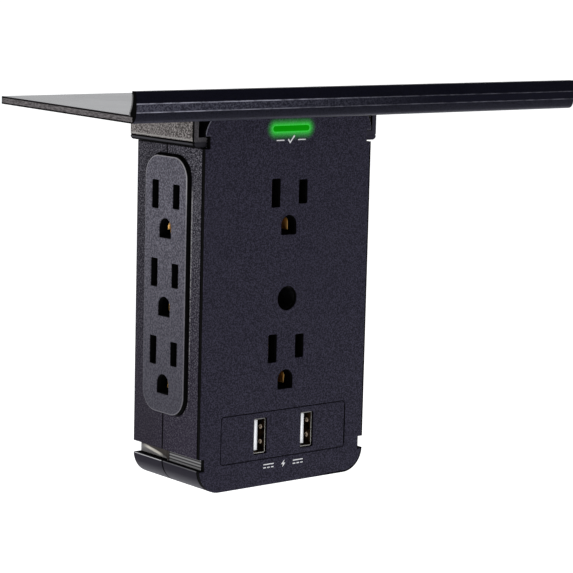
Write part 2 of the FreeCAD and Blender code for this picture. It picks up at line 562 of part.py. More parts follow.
def make_transformer_core():
    outer = box(-6.6, 6.6, USB_BOARD_Y + 2.3, -15.2, -63.4, -51.0)
    window = [box(-4.6, -2.2, USB_BOARD_Y + 1, -14, -61.0, -53.4), box(2.2, 4.6, USB_BOARD_Y + 1, -14, -61.0, -53.4)]
    return outer.cut(window)


def make_transformer_winding():
    coil = box(-4.45, 4.45, USB_BOARD_Y + 2.8, -15.7, -60.8, -53.6)
    return coil.cut(box(-2.35, 2.35, USB_BOARD_Y, -10, -70, -45))


def make_capacitor(x, z, r, length):
    can = rod("y", x, z, r, USB_BOARD_Y + 1.3, USB_BOARD_Y + 1.3 + length)
    rim = [e for e in can.Edges if len(e.Vertexes) == 1]
    return can.makeFillet(0.4, rim)


# ---- leads ----
LEAD_R = 0.7


def make_lead(side):
    """Lead from a live blade's root, round the edge of the surge board, to the front bus rail."""
    start, turn, end = side * (SLOT_PITCH / 2 + BLADE_T / 2), side * 20.3, side * 12.25
    return swept_wire([(start, -10.4, PRONG_Z), (turn, -10.4, PRONG_Z), (turn, -23.85, PRONG_Z),
                       (end, -23.85, PRONG_Z)], LEAD_R)


def make_ground_lead():
    z = PRONG_Z - GROUND_DROP
    return swept_wire([(-3.5, -8.3, z), (-20.3, -8.3, z), (-20.3, -22.3, z), (-17.25, -22.3, z)], LEAD_R)


NODES = {
    "rear_shell": make_rear_shell,
    "front_shell": make_front_shell,
    "front_panel": make_front_panel,
    "left_outlet_strip": lambda: make_strip(-1),
    "right_outlet_strip": lambda: make_strip(1),
    "left_contact_carrier": lambda: make_side_carrier(-1),
    "right_contact_carrier": lambda: make_side_carrier(1),
    "upper_contact_carrier": lambda: make_front_carrier(FRONT_ROWS[0]),
    "lower_contact_carrier": lambda: make_front_carrier(FRONT_ROWS[1]),
    "hot_blade": lambda: make_blade(1),
    "neutral_blade": lambda: make_blade(-1),
    "ground_pin": make_ground_pin,
    "stabiliser_pin": make_stabiliser,
    "prong_block": make_prong_block,
    "mounting_screw": make_mounting_screw,
    "screw_retainer": make_retainer,
    "case_screws": make_case_screws,
    "board_screws": make_board_screws,
    "shelf_board": make_board,
    "shelf_lip": make_lip,
    "shelf_bracket": make_bracket,
    "shelf_screws": make_shelf_screws,
    "led_lens": make_led_lens,
    "status_led": make_status_led,
    "surge_board": make_surge_board,
    "line_varistor": lambda: make_varistor(-12.6, 3.0),
    "neutral_varistor": lambda: make_varistor(12.6, 3.0),
    "ground_varistor": lambda: make_varistor(12.6, -10.5),
    "thermal_fuse": make_thermal_fuse,
    "x_capacitor": make_x_capacitor,
    "choke_core": make_choke_core,
    "choke_winding": make_choke_winding,
    "usb_board": make_usb_board,
    "transformer_core": make_transformer_core,
    "transformer_winding": make_transformer_winding,
    "bulk_capacitor": lambda: make_capacitor(14.0, -57.0, 4.0, 9.0),
    "output_capacitor": lambda: make_capacitor(-13.5, -57.0, 3.0, 8.5),
    "hot_lead": lambda: make_lead(1),
    "neutral_lead": lambda: make_lead(-1),
    "ground_lead": make_ground_lead,
}
for name, side in (("left", -1), ("right", 1)):
    NODES["usb_%s_shell" % name] = lambda s=side: make_usb_shell(s)
    NODES["usb_%s_tongue" % name] = lambda s=side: make_usb_tongue(s)
    NODES["usb_%s_contacts" % name] = lambda s=side: make_usb_contacts(s)
    for role in ("hot", "neutral", "ground"):
        NODES["%s_%s_bus" % (name, role)] = lambda s=side, r=role: make_side_bus(s, r)
for role in ("hot", "neutral", "ground"):
    NODES["front_%s_bus" % role] = lambda r=role: make_front_bus(r)

os.makedirs("parts", exist_ok=True)
for node, make in NODES.items():
    make().exportStep("parts/%s.step" % node)
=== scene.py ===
import math

import bmesh
import bpy
from mathutils import Matrix, Vector


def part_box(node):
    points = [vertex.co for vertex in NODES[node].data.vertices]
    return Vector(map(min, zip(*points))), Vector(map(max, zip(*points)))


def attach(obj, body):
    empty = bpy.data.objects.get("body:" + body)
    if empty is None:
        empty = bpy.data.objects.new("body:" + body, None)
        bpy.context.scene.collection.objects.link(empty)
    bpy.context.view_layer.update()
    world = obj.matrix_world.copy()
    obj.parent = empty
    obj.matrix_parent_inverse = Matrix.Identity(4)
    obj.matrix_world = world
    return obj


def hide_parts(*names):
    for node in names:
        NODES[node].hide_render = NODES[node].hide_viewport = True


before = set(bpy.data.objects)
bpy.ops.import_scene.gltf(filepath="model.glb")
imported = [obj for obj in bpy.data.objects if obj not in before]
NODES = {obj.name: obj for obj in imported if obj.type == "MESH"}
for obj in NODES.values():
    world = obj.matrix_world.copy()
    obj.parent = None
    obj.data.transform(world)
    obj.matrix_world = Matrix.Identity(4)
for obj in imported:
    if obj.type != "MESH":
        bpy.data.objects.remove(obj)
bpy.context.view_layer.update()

# A plug-in surge protector with a slide-on shelf. The CAD parts set every size and place;
# this script builds the shown shells as moulded meshes round them and gives all parts their finish.
MM = 0.001


# ---- places: the boxes of CAD parts, and sizes within them ----
def low_high(node):
    """Lowest and highest corners of a CAD part at rest."""
    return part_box(node)


PANEL_LOW, PANEL_HIGH = low_high("front_panel")
HALF_W, HALF_H = PANEL_HIGH.x, PANEL_HIGH.z
FRONT_Y, PANEL_BACK_Y = PANEL_LOW.y, PANEL_HIGH.y
CORNER_R = 9 * MM
GROOVE_Z, GROOVE_H = 58.5 * MM, 4.4 * MM
GROOVE_IN, GROOVE_OUT = GROOVE_Z - GROOVE_H / 2, GROOVE_Z + GROOVE_H / 2
GROOVE_DEEP, REAR_GROOVE_DEEP = 2.1 * MM, 3.5 * MM
WALL = 2.2 * MM
SEAM_Y = -18.3 * MM  # where the shown halves of the case meet, 0.6 mm in front of the CAD's joint

# outlets: NEMA 5-15 spacings
SLOT_PITCH, GROUND_DROP = 12.7 * MM, 11.9 * MM
SLOT_W, NEUTRAL_H, HOT_H = 4.1 * MM, 10.5 * MM, 8.9 * MM
GROUND_HALF, GROUND_FLAT = 3.6 * MM, 3.7 * MM
FRONT_ROWS = (39.1 * MM, -18.3 * MM)
SIDE_ROWS = (37.8 * MM, 9.1 * MM, -19.6 * MM)
STRIP_Y, STRIP_Z, STRIP_W, STRIP_H, STRIP_R = -20.2 * MM, 4.9 * MM, 25.5 * MM, 94.6 * MM, 8 * MM

# the mounting screw's bores in front of its seat, in the seat and behind it
SCREW_HOLE_R, SEAT_R, WELL_R = 4.5 * MM, 1.95 * MM, 5.2 * MM
SEAT_FRONT, SEAT_BACK = -9 * MM, -6.5 * MM
CASE_SCREWS = [(sx * 29.5 * MM, sz * 62.6 * MM) for sx in (-1, 1) for sz in (-1, 1)]
CASE_SCREW_R = 2.9 * MM
BLADE_Z, BLADE_HOLE = 24.6 * MM, (1.62 * MM, 6.45 * MM)
STABILISER_Z, TANG = -26.2 * MM, 5 * MM

LED_Z, LED_W, LED_H = 62.4 * MM, 16.8 * MM, 2.1 * MM
USB_X, USB_Z, USB_W, USB_H = 11.05 * MM, -50.5 * MM, 5.7 * MM, 13.1 * MM
FRAME_W, FRAME_Z, FRAME_H, FRAME_R = 59 * MM, -50.45 * MM, 18.1 * MM, 1.2 * MM
FRAME_LINE, FRAME_DEEP = 0.35 * MM, 0.3 * MM
DIMPLE_DEEP, DIMPLE_Z = 3.3 * MM, 2.8 * MM
BOARD_T, BOARD_SLOPE = 2.7 * MM, math.radians(0.74)
LIP_BITE, TONGUE_STEP = 2.5 * MM, 0.3 * MM
LIP_FOOT, LIP_BACK, LIP_SWEEP = 3.4, 2.8, 1.5  # the back's curve: its start, its top and its reach, in mm
LIP_LINES = 3.7 * MM, 6.5 * MM
BRACKET_LINE_Z = 58.5 * MM
STATUS_MARK_Z, CHARGE_MARK_Z = 58.1 * MM, -62.2 * MM


# ---- outlines: closed loops of (u, v), counter-clockwise ----
def arc(cu, cv, r, a0, a1, steps):
    angles = [math.radians(a0 + (a1 - a0) * k / steps) for k in range(steps + 1)]
    return [(cu + r * math.cos(a), cv + r * math.sin(a)) for a in angles]


def circle(cu, cv, r):
    return arc(cu, cv, r, 0, 354, 59)


def rounded(cu, cv, w, h, r, steps=10):
    """Rectangle of size w by h with corners of radius r."""
    a, b = w / 2 - r, h / 2 - r
    loop = []
    for k, (su, sv) in enumerate([(1, 1), (-1, 1), (-1, -1), (1, -1)]):
        loop += arc(cu + su * a, cv + sv * b, r, 90 * k, 90 * k + 90, steps)
    return loop


def d_hole(cu, cv):
    """Ground hole: round top, flat bottom."""
    low = cv - GROUND_FLAT
    corner = 0.4 * MM
    loop = arc(cu, cv, GROUND_HALF, 0, 180, 24)
    loop += arc(cu - GROUND_HALF + corner, low + corner, corner, 180, 270, 4)
    return loop + arc(cu + GROUND_HALF - corner, low + corner, corner, 270, 360, 4)


def outlet(cu, cv, turn):
    """Two slots and a ground hole. turn = 1 puts the hot slot towards +u."""
    side = turn * SLOT_PITCH / 2
    return [rounded(cu - side, cv, SLOT_W, NEUTRAL_H, 0.5 * MM, 4),
            rounded(cu + side, cv, SLOT_W, HOT_H, 0.5 * MM, 4), d_hole(cu, cv - GROUND_DROP)]


def grooved(w, h, r, near, far, inner):
    """Rounded outline of half size w by h with a square notch in each side near the top and bottom."""
    tilt = math.degrees(math.asin((far - (h - r)) / r))
    quarter = [(w, near), (inner, near), (inner, far)] + arc(w - r, h - r, r, tilt, 90, 16)
    top = quarter + [(-u, v) for u, v in reversed(quarter)]
    return top + [(-u, -v) for u, v in top]


def case_outline(deep):
    return grooved(HALF_W, HALF_H, CORNER_R, GROOVE_IN, GROOVE_OUT, HALF_W - deep)


def cavity_outline(deep):
    """Inside of the case's wall, which is thicker behind the grooves."""
    rib = 1.8 * MM
    floor = 1.9 * MM
    return grooved(HALF_W - WALL, HALF_H - WALL, CORNER_R - WALL, GROOVE_IN - rib, GROOVE_OUT + rib,
                   HALF_W - deep - floor)


# ---- mesh building ----
SHARP = math.radians(32)
AXES = {  # local (u, v, t) to the frame
    "x": Matrix(((0, 0, 1), (1, 0, 0), (0, 1, 0))),
    "y": Matrix(((1, 0, 0), (0, 0, 1), (0, 1, 0))),
    "z": Matrix(((1, 0, 0), (0, 1, 0), (0, 0, 1))),
}


def to_object(bm, name):
    """New object from a finished bmesh, shaded smooth."""
    mesh = bpy.data.meshes.new(name)
    bm.to_mesh(mesh)
    bm.free()
    mesh.polygons.foreach_set("use_smooth", [True] * len(mesh.polygons))
    piece = bpy.data.objects.new(name, mesh)
    bpy.context.scene.collection.objects.link(piece)
    return piece


def inset(loop, d):
    """Loop moved by d to its left, which is into the material for an outline and out of a hole."""
    n = len(loop)
    moved = []
    for i in range(n):
        (ax, ay), (bx, by), (cx, cy) = loop[i - 1], loop[i], loop[(i + 1) % n]
        e1, e2 = Vector((bx - ax, by - ay)), Vector((cx - bx, cy - by))
        n1 = Vector((-e1.y, e1.x)).normalized()
        n2 = Vector((-e2.y, e2.x)).normalized()
        shift = (n1 + n2) / (1 + n1.dot(n2))
        moved.append((bx + shift.x * d, by + shift.y * d))
    return moved


class Builder:
    """Collects rings and caps of one closed solid."""

    def __init__(self, axis):
        self.bm = bmesh.new()
        self.axis = AXES[axis]

    def ring(self, loop, t):
        return [self.bm.verts.new(self.axis @ Vector((u, v, t))) for u, v in loop]

    def skin(self, a, b):
        """Band of faces between two rings."""
        for i in range(len(a)):
            self.bm.faces.new((a[i - 1], a[i], b[i], b[i - 1]))

    def wall(self, loop, lo, hi, round_lo, round_hi, steps=4):
        """Wall of one loop between two depths, rounded over at each end. Returns its end rings."""
        stations = []
        turns = [math.pi / 2 * k / steps for k in range(steps + 1)]
        for a in turns if round_lo else turns[:1]:
            stations.append((round_lo * (1 - math.sin(a)), lo + round_lo * (1 - math.cos(a))))
        for a in turns if round_hi else turns[:1]:
            stations.append((round_hi * (1 - math.cos(a)), hi - round_hi * (1 - math.sin(a))))
        rings = [self.ring(inset(loop, d) if d else loop, t) for d, t in stations]
        for a, b in zip(rings, rings[1:]):
            self.skin(a, b)
        return rings[0], rings[-1]

    def cap(self, rings):
        """Flat face bounded by an outer ring and the rings of any holes in it."""
        edges = [self.bm.edges.get(pair) or self.bm.edges.new(pair)
                 for r in rings for pair in zip(r, r[1:] + r[:1])]
        bmesh.ops.triangle_fill(self.bm, edges=edges, use_beauty=True)

    def finish(self, name):
        bmesh.ops.remove_doubles(self.bm, verts=self.bm.verts, dist=1e-7)
        bmesh.ops.recalc_face_normals(self.bm, faces=self.bm.faces)
        piece = to_object(self.bm, name)
        piece.data.set_sharp_from_angle(angle=SHARP)
        return piece


def moulded(name, axis, outline, holes, lo, hi, rim=(0.0, 0.0), hole_rim=(0.0, 0.0), groove=None):
    """Plate with holes whose edges are rounded over. rim and hole_rim give (at lo, at hi) radii.
    groove = (outer loop, inner loop, depth, holes inside it) engraves a closed line into the lo side."""
    b = Builder(axis)
    first, last = b.wall(outline, lo, hi, *rim)
    low_caps, high_caps, island = [first], [last], []
    inside = groove[3] if groove else []
    for hole in holes + inside:
        first, last = b.wall(list(reversed(hole)), lo, hi, *hole_rim)
        (island if hole in inside else low_caps).append(first)
        high_caps.append(last)
    if groove:
        outer, inner, depth = groove[:3]
        soft = 0.12 * MM
        top, floor_out = b.wall(list(reversed(outer)), lo, lo + depth, soft, 0, 2)
        low_caps.append(top)
        top, floor_in = b.wall(inner, lo, lo + depth, soft, 0, 2)
        island.append(top)
        b.cap([floor_out, floor_in])
        b.cap(island)
    b.cap(low_caps)
    b.cap(high_caps)
    return b.finish(name)


# ---- node materials ----
def fill(node, values):
    """Sets a node's inputs by name."""
    for key, value in values.items():
        node.inputs[key].default_value = value


class Shader:
    """Principled material with helpers that add procedural detail."""

    def __init__(self, name, color, roughness, metallic=0.0, specular=0.5):
        self.material = bpy.data.materials.new(name)
        self.material.use_nodes = True
        self.tree = self.material.node_tree
        self.bsdf = self.tree.nodes["Principled BSDF"]
        self.color = color
        fill(self.bsdf, {"Base Color": (*color, 1), "Roughness": roughness, "Metallic": metallic,
                         "Specular IOR Level": specular})
        self.shape = self.node("ShaderNodeTexCoord")
        self.place = self.shape.outputs["Object"]
        self.normal = None

    def node(self, kind, **values):
        n = self.tree.nodes.new(kind)
        for key, value in values.items():
            setattr(n, key, value)
        return n

    def link(self, a, b):
        self.tree.links.new(a, b)

    def noise(self, scale, detail=2.0, rough=0.5, stretch=None):
        n = self.node("ShaderNodeTexNoise")
        fill(n, {"Scale": scale, "Detail": detail, "Roughness": rough})
        place = self.place
        if stretch:
            mapping = self.node("ShaderNodeMapping")
            fill(mapping, {"Scale": stretch})
            self.link(place, mapping.inputs["Vector"])
            place = mapping.outputs["Vector"]
        self.link(place, n.inputs["Vector"])
        return n.outputs["Fac"]

    def cells(self, scale):
        """Distance from the nearest of many scattered points."""
        n = self.node("ShaderNodeTexVoronoi")
        fill(n, {"Scale": scale})
        self.link(self.place, n.inputs["Vector"])
        return n.outputs["Distance"]

    def spread(self, value, low, high, to_low, to_high):
        """Value mapped from low..high to to_low..to_high, and held there outside."""
        m = self.node("ShaderNodeMapRange")
        fill(m, {"From Min": low, "From Max": high, "To Min": to_low, "To Max": to_high})
        self.link(value, m.inputs["Value"])
        return m.outputs["Result"]

    def math(self, operation, a, b=None):
        m = self.node("ShaderNodeMath", operation=operation)
        for socket, value in zip(m.inputs, (a, b)):
            if value is None:
                continue
            if isinstance(value, (int, float)):
                socket.default_value = value
            else:
                self.link(value, socket)
        return m.outputs[0]

    def axis(self, name, size=False):
        """One coordinate in the shared frame, or its size."""
        parts = self.node("ShaderNodeSeparateXYZ")
        self.link(self.place, parts.inputs[0])
        return self.math("ABSOLUTE", parts.outputs[name]) if size else parts.outputs[name]

    def past(self, value, start, end):
        """0 before start, 1 after end."""
        return self.spread(value, start, end, 0.0, 1.0)

    def off(self, value, middle):
        """Distance of value from middle."""
        return self.math("ABSOLUTE", self.math("SUBTRACT", value, middle))

    def length(self, a, b):
        return self.math("SQRT", self.math("ADD", self.both(a, a), self.both(b, b)))

    def from_corners(self, a, b, half_a, half_b, r):
        """Distance from the box through a rounded rectangle's corner centres: r on its outline."""
        return self.length(*[self.math("MAXIMUM", self.math("SUBTRACT", c, half - r), 0.0)
                             for c, half in ((a, half_a), (b, half_b))])

    def line(self, value, middle, half):
        """1 at the middle, 0 at a distance of half."""
        return self.spread(self.off(value, middle), half * 0.4, half, 1.0, 0.0)

    def both(self, first, *others):
        """Product of masks: high only where all are high."""
        for other in others:
            first = self.math("MULTIPLY", first, other)
        return first

    def without(self, a):
        return self.math("SUBTRACT", 1.0, a)

    def mix(self, factor, a, b):
        m = self.node("ShaderNodeMix", data_type="RGBA")
        self.link(factor, m.inputs["Factor"])
        for socket, value in ((m.inputs["A"], a), (m.inputs["B"], b)):
            if hasattr(value, "is_linked"):
                self.link(value, socket)
            else:
                socket.default_value = (*value, 1)
        return m.outputs["Result"]

    def paint(self, value):
        self.link(value, self.bsdf.inputs["Base Color"])

    def tint(self, factor, other):
        """Blend the colour so far towards another where factor is high."""
        links = self.bsdf.inputs["Base Color"].links
        self.paint(self.mix(factor, links[0].from_socket if links else self.color, other))

    def facing(self, name):
        """1 on surfaces that face along an axis, 0 on those that face across it."""
        parts = self.node("ShaderNodeSeparateXYZ")
        self.link(self.shape.outputs["Normal"], parts.inputs[0])
        return self.past(self.math("ABSOLUTE", parts.outputs[name]), 0.6, 0.75)

    def any_of(self, first, *others):
        for other in others:
            first = self.math("MAXIMUM", first, other)
        return first

    def glow(self, color, strength):
        fill(self.bsdf, {"Emission Color": (*color, 1)})
        self.link(strength, self.bsdf.inputs["Emission Strength"])

    def rough(self, value):
        self.link(value, self.bsdf.inputs["Roughness"])

    def rough_where(self, factor, value=1.0):
        """Another roughness where factor is high."""
        links = self.bsdf.inputs["Roughness"].links
        m = self.node("ShaderNodeMix", data_type="FLOAT")
        self.link(factor, m.inputs["Factor"])
        self.link(links[0].from_socket, m.inputs["A"])
        m.inputs["B"].default_value = value
        self.rough(m.outputs["Result"])

    def bump(self, height, distance):
        b = self.node("ShaderNodeBump")
        fill(b, {"Distance": distance, "Strength": 1.0})
        self.link(height, b.inputs["Height"])
        if self.normal:
            self.link(self.normal, b.inputs["Normal"])
        self.normal = b.outputs["Normal"]
        self.link(self.normal, self.bsdf.inputs["Normal"])

    def wear(self, other):
        """Faint rubbed patches and fine scratches."""
        most = 0.3
        rub = self.spread(self.noise(45.0, 5.0, 0.65), 0.56, 0.72, 0.0, most)
        scratch = self.spread(self.noise(160.0, 1.0, 0.5, stretch=(1, 1, 12)), 0.7, 0.76, 0.0, most)
        self.tint(self.any_of(rub, scratch), other)

    def soft_rough(self, base, swing):
        """Roughness that wanders about base, up to swing either way."""
        self.rough(self.spread(self.noise(60.0, 4.0), 0.3, 0.7, base - swing, base + swing))


def shade(color, part):
    return tuple(c * part for c in color)


def grained(name, dark, light, grain, roughness, specular, low=0.42, high=0.62, share=0.5):
    """Spark-textured plastic, lighter flecks on dark. grain is the fleck size, a fleck starts at low
    and is full at high, and share is that of the larger flecks. Returns the shader and its grain."""
    def between(part):
        return tuple(a + (b - a) * part for a, b in zip(dark, light))

    s = Shader(name, dark, roughness, specular=specular)
    large = s.noise(0.8 / grain, 0.0)
    fine = s.noise(1.7 / grain, 1.0)
    height = s.math("ADD", s.math("MULTIPLY", large, share), s.math("MULTIPLY", fine, 1 - share))
    s.paint(s.mix(s.past(height, low, high), dark, light))
    s.tint(s.spread(s.noise(18.0, 3.0), 0.35, 0.75, 0.0, 0.2), between(0.3))
    s.soft_rough(roughness, 0.06)
    s.wear(between(0.45))
    return s, height


def plain_plastic(name, color, roughness, specular=0.45):
    grain = 0.25 * MM
    s = Shader(name, color, roughness, specular=specular)
    fine = s.noise(1.0 / grain, 3.0)
    s.paint(s.mix(s.past(fine, 0.3, 0.7), shade(color, 0.85), shade(color, 1.15)))
    s.soft_rough(roughness, 0.05)
    s.bump(fine, 0.01 * MM)
    return s


def metal(name, color, roughness, brushed=(1, 1, 1)):
    s = Shader(name, color, roughness, metallic=1.0)
    streak = s.noise(900.0, 4.0, 0.6, stretch=brushed)
    blotch = s.noise(220.0, 4.0)
    s.paint(s.mix(s.past(blotch, 0.35, 0.7), color, shade(color, 0.72)))
    s.rough(s.spread(streak, 0.3, 0.7, roughness * 0.75, roughness * 1.35))
    s.bump(streak, 0.006 * MM)
    return s


BLACK = (0.0004, 0.0004, 0.0005)


def panel_finish():
    """Fine-grained front face with black edges, a painted highlight on the rim of its top corners, painted
    shade along its right and lower edges and beside the USB frame's line, and the light's green spill on it
    round the lens.
    """
    s, height = grained("panel_grain", (0.006, 0.005, 0.013), (0.038, 0.035, 0.06), grain=0.42 * MM,
                        roughness=0.55, specular=0.1)
    depth = s.axis("Y")
    # painted highlight: a light line on the rounded front rim of the panel's top corners
    corner = s.both(s.past(s.axis("X", True), 27 * MM, 30 * MM), s.past(s.axis("Z"), 60.5 * MM, 62 * MM))
    s.tint(s.both(s.line(depth, FRONT_Y + 0.17 * MM, 0.15 * MM), corner), (0.22, 0.22, 0.27))
    # the black also takes in painted shade: the panel's right and lower edge and the right side of the USB
    # frame's line
    side = s.any_of(s.past(depth, FRONT_Y + 0.2 * MM, FRONT_Y + 0.32 * MM),
                    s.both(shaded_panel_edge(s), 0.9), shaded_frame_side(s))
    s.tint(side, BLACK)
    s.rough_where(side)
    s.bump(s.both(height, s.without(side)), 0.04 * MM)
    light_spill(s)
    return s


def shaded_panel_edge(s):
    """Mask of painted shade along the panel's edge and notches on its right, below the bracket."""
    wide, tall = s.axis("X", True), s.axis("Z", True)
    away = s.from_corners(wide, tall, HALF_W, HALF_H, CORNER_R)
    floor = HALF_W - GROOVE_DEEP
    notch = s.both(s.past(s.off(tall, GROOVE_Z), GROOVE_H / 2 + 0.5 * MM, GROOVE_H / 2 + 0.3 * MM),
                   s.past(wide, floor - 0.6 * MM, floor - 0.4 * MM))
    outline = s.any_of(notch, s.past(away, CORNER_R - 0.95 * MM, CORNER_R - 0.75 * MM))
    right, below = s.past(s.axis("X"), 15 * MM, 24 * MM), s.past(s.axis("Z"), 56 * MM, 54 * MM)
    return s.both(outline, right, below)


def shaded_frame_side(s):
    """Mask of painted shade on the right side of the line engraved round the USB sockets."""
    straight = FRAME_H / 2 - FRAME_R
    return s.both(s.line(s.axis("X"), FRAME_W / 2 - FRAME_LINE / 2, 0.45 * MM),
                  s.past(s.off(s.axis("Z"), FRAME_Z), straight, straight - 0.5 * MM))


def light_spill(s):
    """Green glow on the panel, brightest at the lens."""
    beyond = s.math("MAXIMUM", s.math("SUBTRACT", s.axis("X", True), (LED_W - LED_H) / 2), 0.0)
    far = s.length(beyond, s.math("SUBTRACT", s.axis("Z"), LED_Z))
    reach = 3.6 * MM
    spill = s.math("POWER", s.spread(far, LED_H / 2, LED_H / 2 + reach, 1.0, 0.0), 2.2)
    s.glow((0.045, 1, 0.06), s.both(spill, 0.56))


def case_finish():
    """Coarse spark texture, darkened downwards and towards the rear as painted shade; the ends and the
    grooves are smooth, and the grooves carry painted reflections.
    """
    s, height = grained("case_spark", (0.01, 0.0095, 0.015), (0.22, 0.212, 0.25), grain=0.45 * MM,
                        roughness=0.6, specular=0.03, low=0.45, high=0.71, share=0.6)
    depth, up = s.axis("Y"), s.axis("Z")
    # painted shade: the spark goes darker towards the bottom and towards the rear
    s.tint(s.spread(up, 55 * MM, 20 * MM, 0.0, 0.25), (0.01, 0.0095, 0.014))
    s.tint(s.spread(up, 25 * MM, -50 * MM, 0.0, 0.65), (0.02, 0.0145, 0.03))
    s.tint(s.spread(depth, -26 * MM, -10 * MM, 0.0, 0.4), (0.012, 0.0105, 0.015))
    ends = case_ends(s)
    grooves, ledges = case_grooves(s)
    smooth = s.any_of(ends, grooves)
    s.rough_where(smooth, 0.55)
    shadows = case_shadows(s, height)
    seam = s.line(depth, SEAM_Y - 0.15 * MM, 0.55 * MM)
    reveal = s.past(depth, PANEL_BACK_Y + 0.5 * MM, PANEL_BACK_Y + 0.35 * MM)
    # painted shade: the top behind the panel, under the shelf, goes nearly black; the dark tint also takes
    # in the ledges' painted shade and the painted shadows
    top = s.both(s.past(up, GROOVE_OUT - 0.3 * MM, GROOVE_OUT), s.past(depth, -2 * MM, -3 * MM))
    dark = s.any_of(seam, reveal, ledges, shadows, s.both(top, 0.88))
    s.tint(dark, BLACK)
    s.rough_where(dark)
    s.bump(s.both(height, s.without(smooth)), 0.1 * MM)
    return s


def case_ends(s):
    """Colours the smooth ends beyond the grooves, which start with a painted highlight line and lighten as a
    painted reflection where they turn from the flanks, and returns their mask.
    """
    depth, tall, wide = s.axis("Y"), s.axis("Z", True), s.axis("X", True)
    ends = s.both(s.past(tall, GROOVE_OUT - 0.3 * MM, GROOVE_OUT), s.past(depth, -0.1 * MM, -0.3 * MM))
    # painted reflection: the ends go lighter where they turn from the flanks towards the top and bottom
    # faces
    end_reflection = s.past(s.math("SUBTRACT", tall, s.math("MULTIPLY", wide, 0.5)), 44.5 * MM, 49.5 * MM)
    s.tint(ends, s.mix(end_reflection, (0.016, 0.0145, 0.022), (0.07, 0.069, 0.08)))
    # painted highlight: a light line where the ends start, brighter behind the seam
    s.tint(s.both(s.line(tall, GROOVE_OUT + 0.15 * MM, 0.25 * MM), s.facing("X")),
           s.mix(s.past(depth, SEAM_Y, SEAM_Y + 1 * MM), (0.1, 0.1, 0.11), (0.4, 0.4, 0.42)))
    return ends


def case_grooves(s):
    """Colours the grooves with painted reflections: fine ribs in the front half, a sheen with a streak of
    light in the rear half, a dark line of painted shade where they meet, and ledges black as painted shade.
    Returns the masks of the grooves and of their ledges."""
    depth, up, tall, wide = s.axis("Y"), s.axis("Z"), s.axis("Z", True), s.axis("X", True)
    inside = s.both(s.past(wide, HALF_W - 0.6 * MM, HALF_W - 0.9 * MM), s.past(depth, -0.3 * MM, -0.6 * MM),
                    s.past(tall, GROOVE_IN - 0.1 * MM, GROOVE_IN + 0.05 * MM),
                    s.past(tall, GROOVE_OUT + 0.08 * MM, GROOVE_OUT + 0.02 * MM))
    level = s.facing("Z")
    ledges, floors = s.both(inside, level), s.both(inside, s.without(level))
    # painted reflection: pale floors in the front half, with the ribs drawn as light and dark stripes
    rib_pitch = 1.1 * MM
    rib = s.past(s.math("SINE", s.math("MULTIPLY", up, math.tau / rib_pitch)), -0.6, 0.6)
    ribbed_sheen = s.mix(rib, (0.045, 0.044, 0.046), (0.24, 0.24, 0.25))
    # painted reflection: a sheen in the rear half with a streak of light across it
    slant = s.math("SUBTRACT", up, s.math("MULTIPLY", depth, 0.15))
    sheen = s.mix(s.past(slant, 0.3 * MM - GROOVE_Z, 1.1 * MM - GROOVE_Z),
                  (0.22, 0.215, 0.22), (0.06, 0.053, 0.05))
    glint = s.both(s.line(slant, 0.6 * MM - GROOVE_Z, 0.75 * MM), s.past(depth, -1.5 * MM, -5 * MM),
                   s.past(depth, -14.5 * MM, -12 * MM))
    sheen = s.mix(glint, sheen, (0.8, 0.77, 0.7))
    change = SEAM_Y - 1.6 * MM
    s.tint(floors, s.mix(s.past(depth, change - 0.1 * MM, change + 0.1 * MM), ribbed_sheen, sheen))
    # painted shade: a dark line where the floors step, and black ledges
    s.tint(s.both(floors, s.line(depth, change, 0.4 * MM)), BLACK)
    s.tint(ledges, BLACK)
    return inside, ledges


def case_shadows(s, height):
    """Mask of the dark lines on the flanks, below the upper grooves and round the side openings. It also
    colours the light line that the front edge of each opening catches."""
    depth, up, tall, flank = s.axis("Y"), s.axis("Z"), s.axis("Z", True), s.facing("X")
    below = s.both(s.past(tall, GROOVE_IN - 0.45 * MM, GROOVE_IN - 0.2 * MM),
                   s.past(tall, GROOVE_IN + 0.2 * MM, GROOVE_IN + 0.1 * MM), s.past(up, 0.0, 10 * MM))
    away = s.from_corners(s.off(depth, STRIP_Y), s.off(up, STRIP_Z), STRIP_W / 2, STRIP_H / 2, STRIP_R)
    arch = s.both(s.past(away, STRIP_R + 1.0 * MM, STRIP_R + 0.7 * MM), s.past(up, 38 * MM, 46 * MM),
                  s.past(depth, -9 * MM, -13 * MM))
    front = s.both(s.past(depth, STRIP_Y - 4 * MM, STRIP_Y - 9 * MM), flank)
    broken = s.past(s.math("ADD", height, s.math("MULTIPLY", up, 4.0)), 0.35, 0.7)
    lit = s.both(front, s.line(away, STRIP_R + 1.1 * MM, 0.45 * MM), s.past(up, 43 * MM, 37 * MM), broken)
    s.tint(lit, (0.3, 0.295, 0.31))
    beside = s.both(front, s.past(away, STRIP_R + 0.85 * MM, STRIP_R + 0.6 * MM))
    return s.both(s.any_of(below, arch, beside), flank)


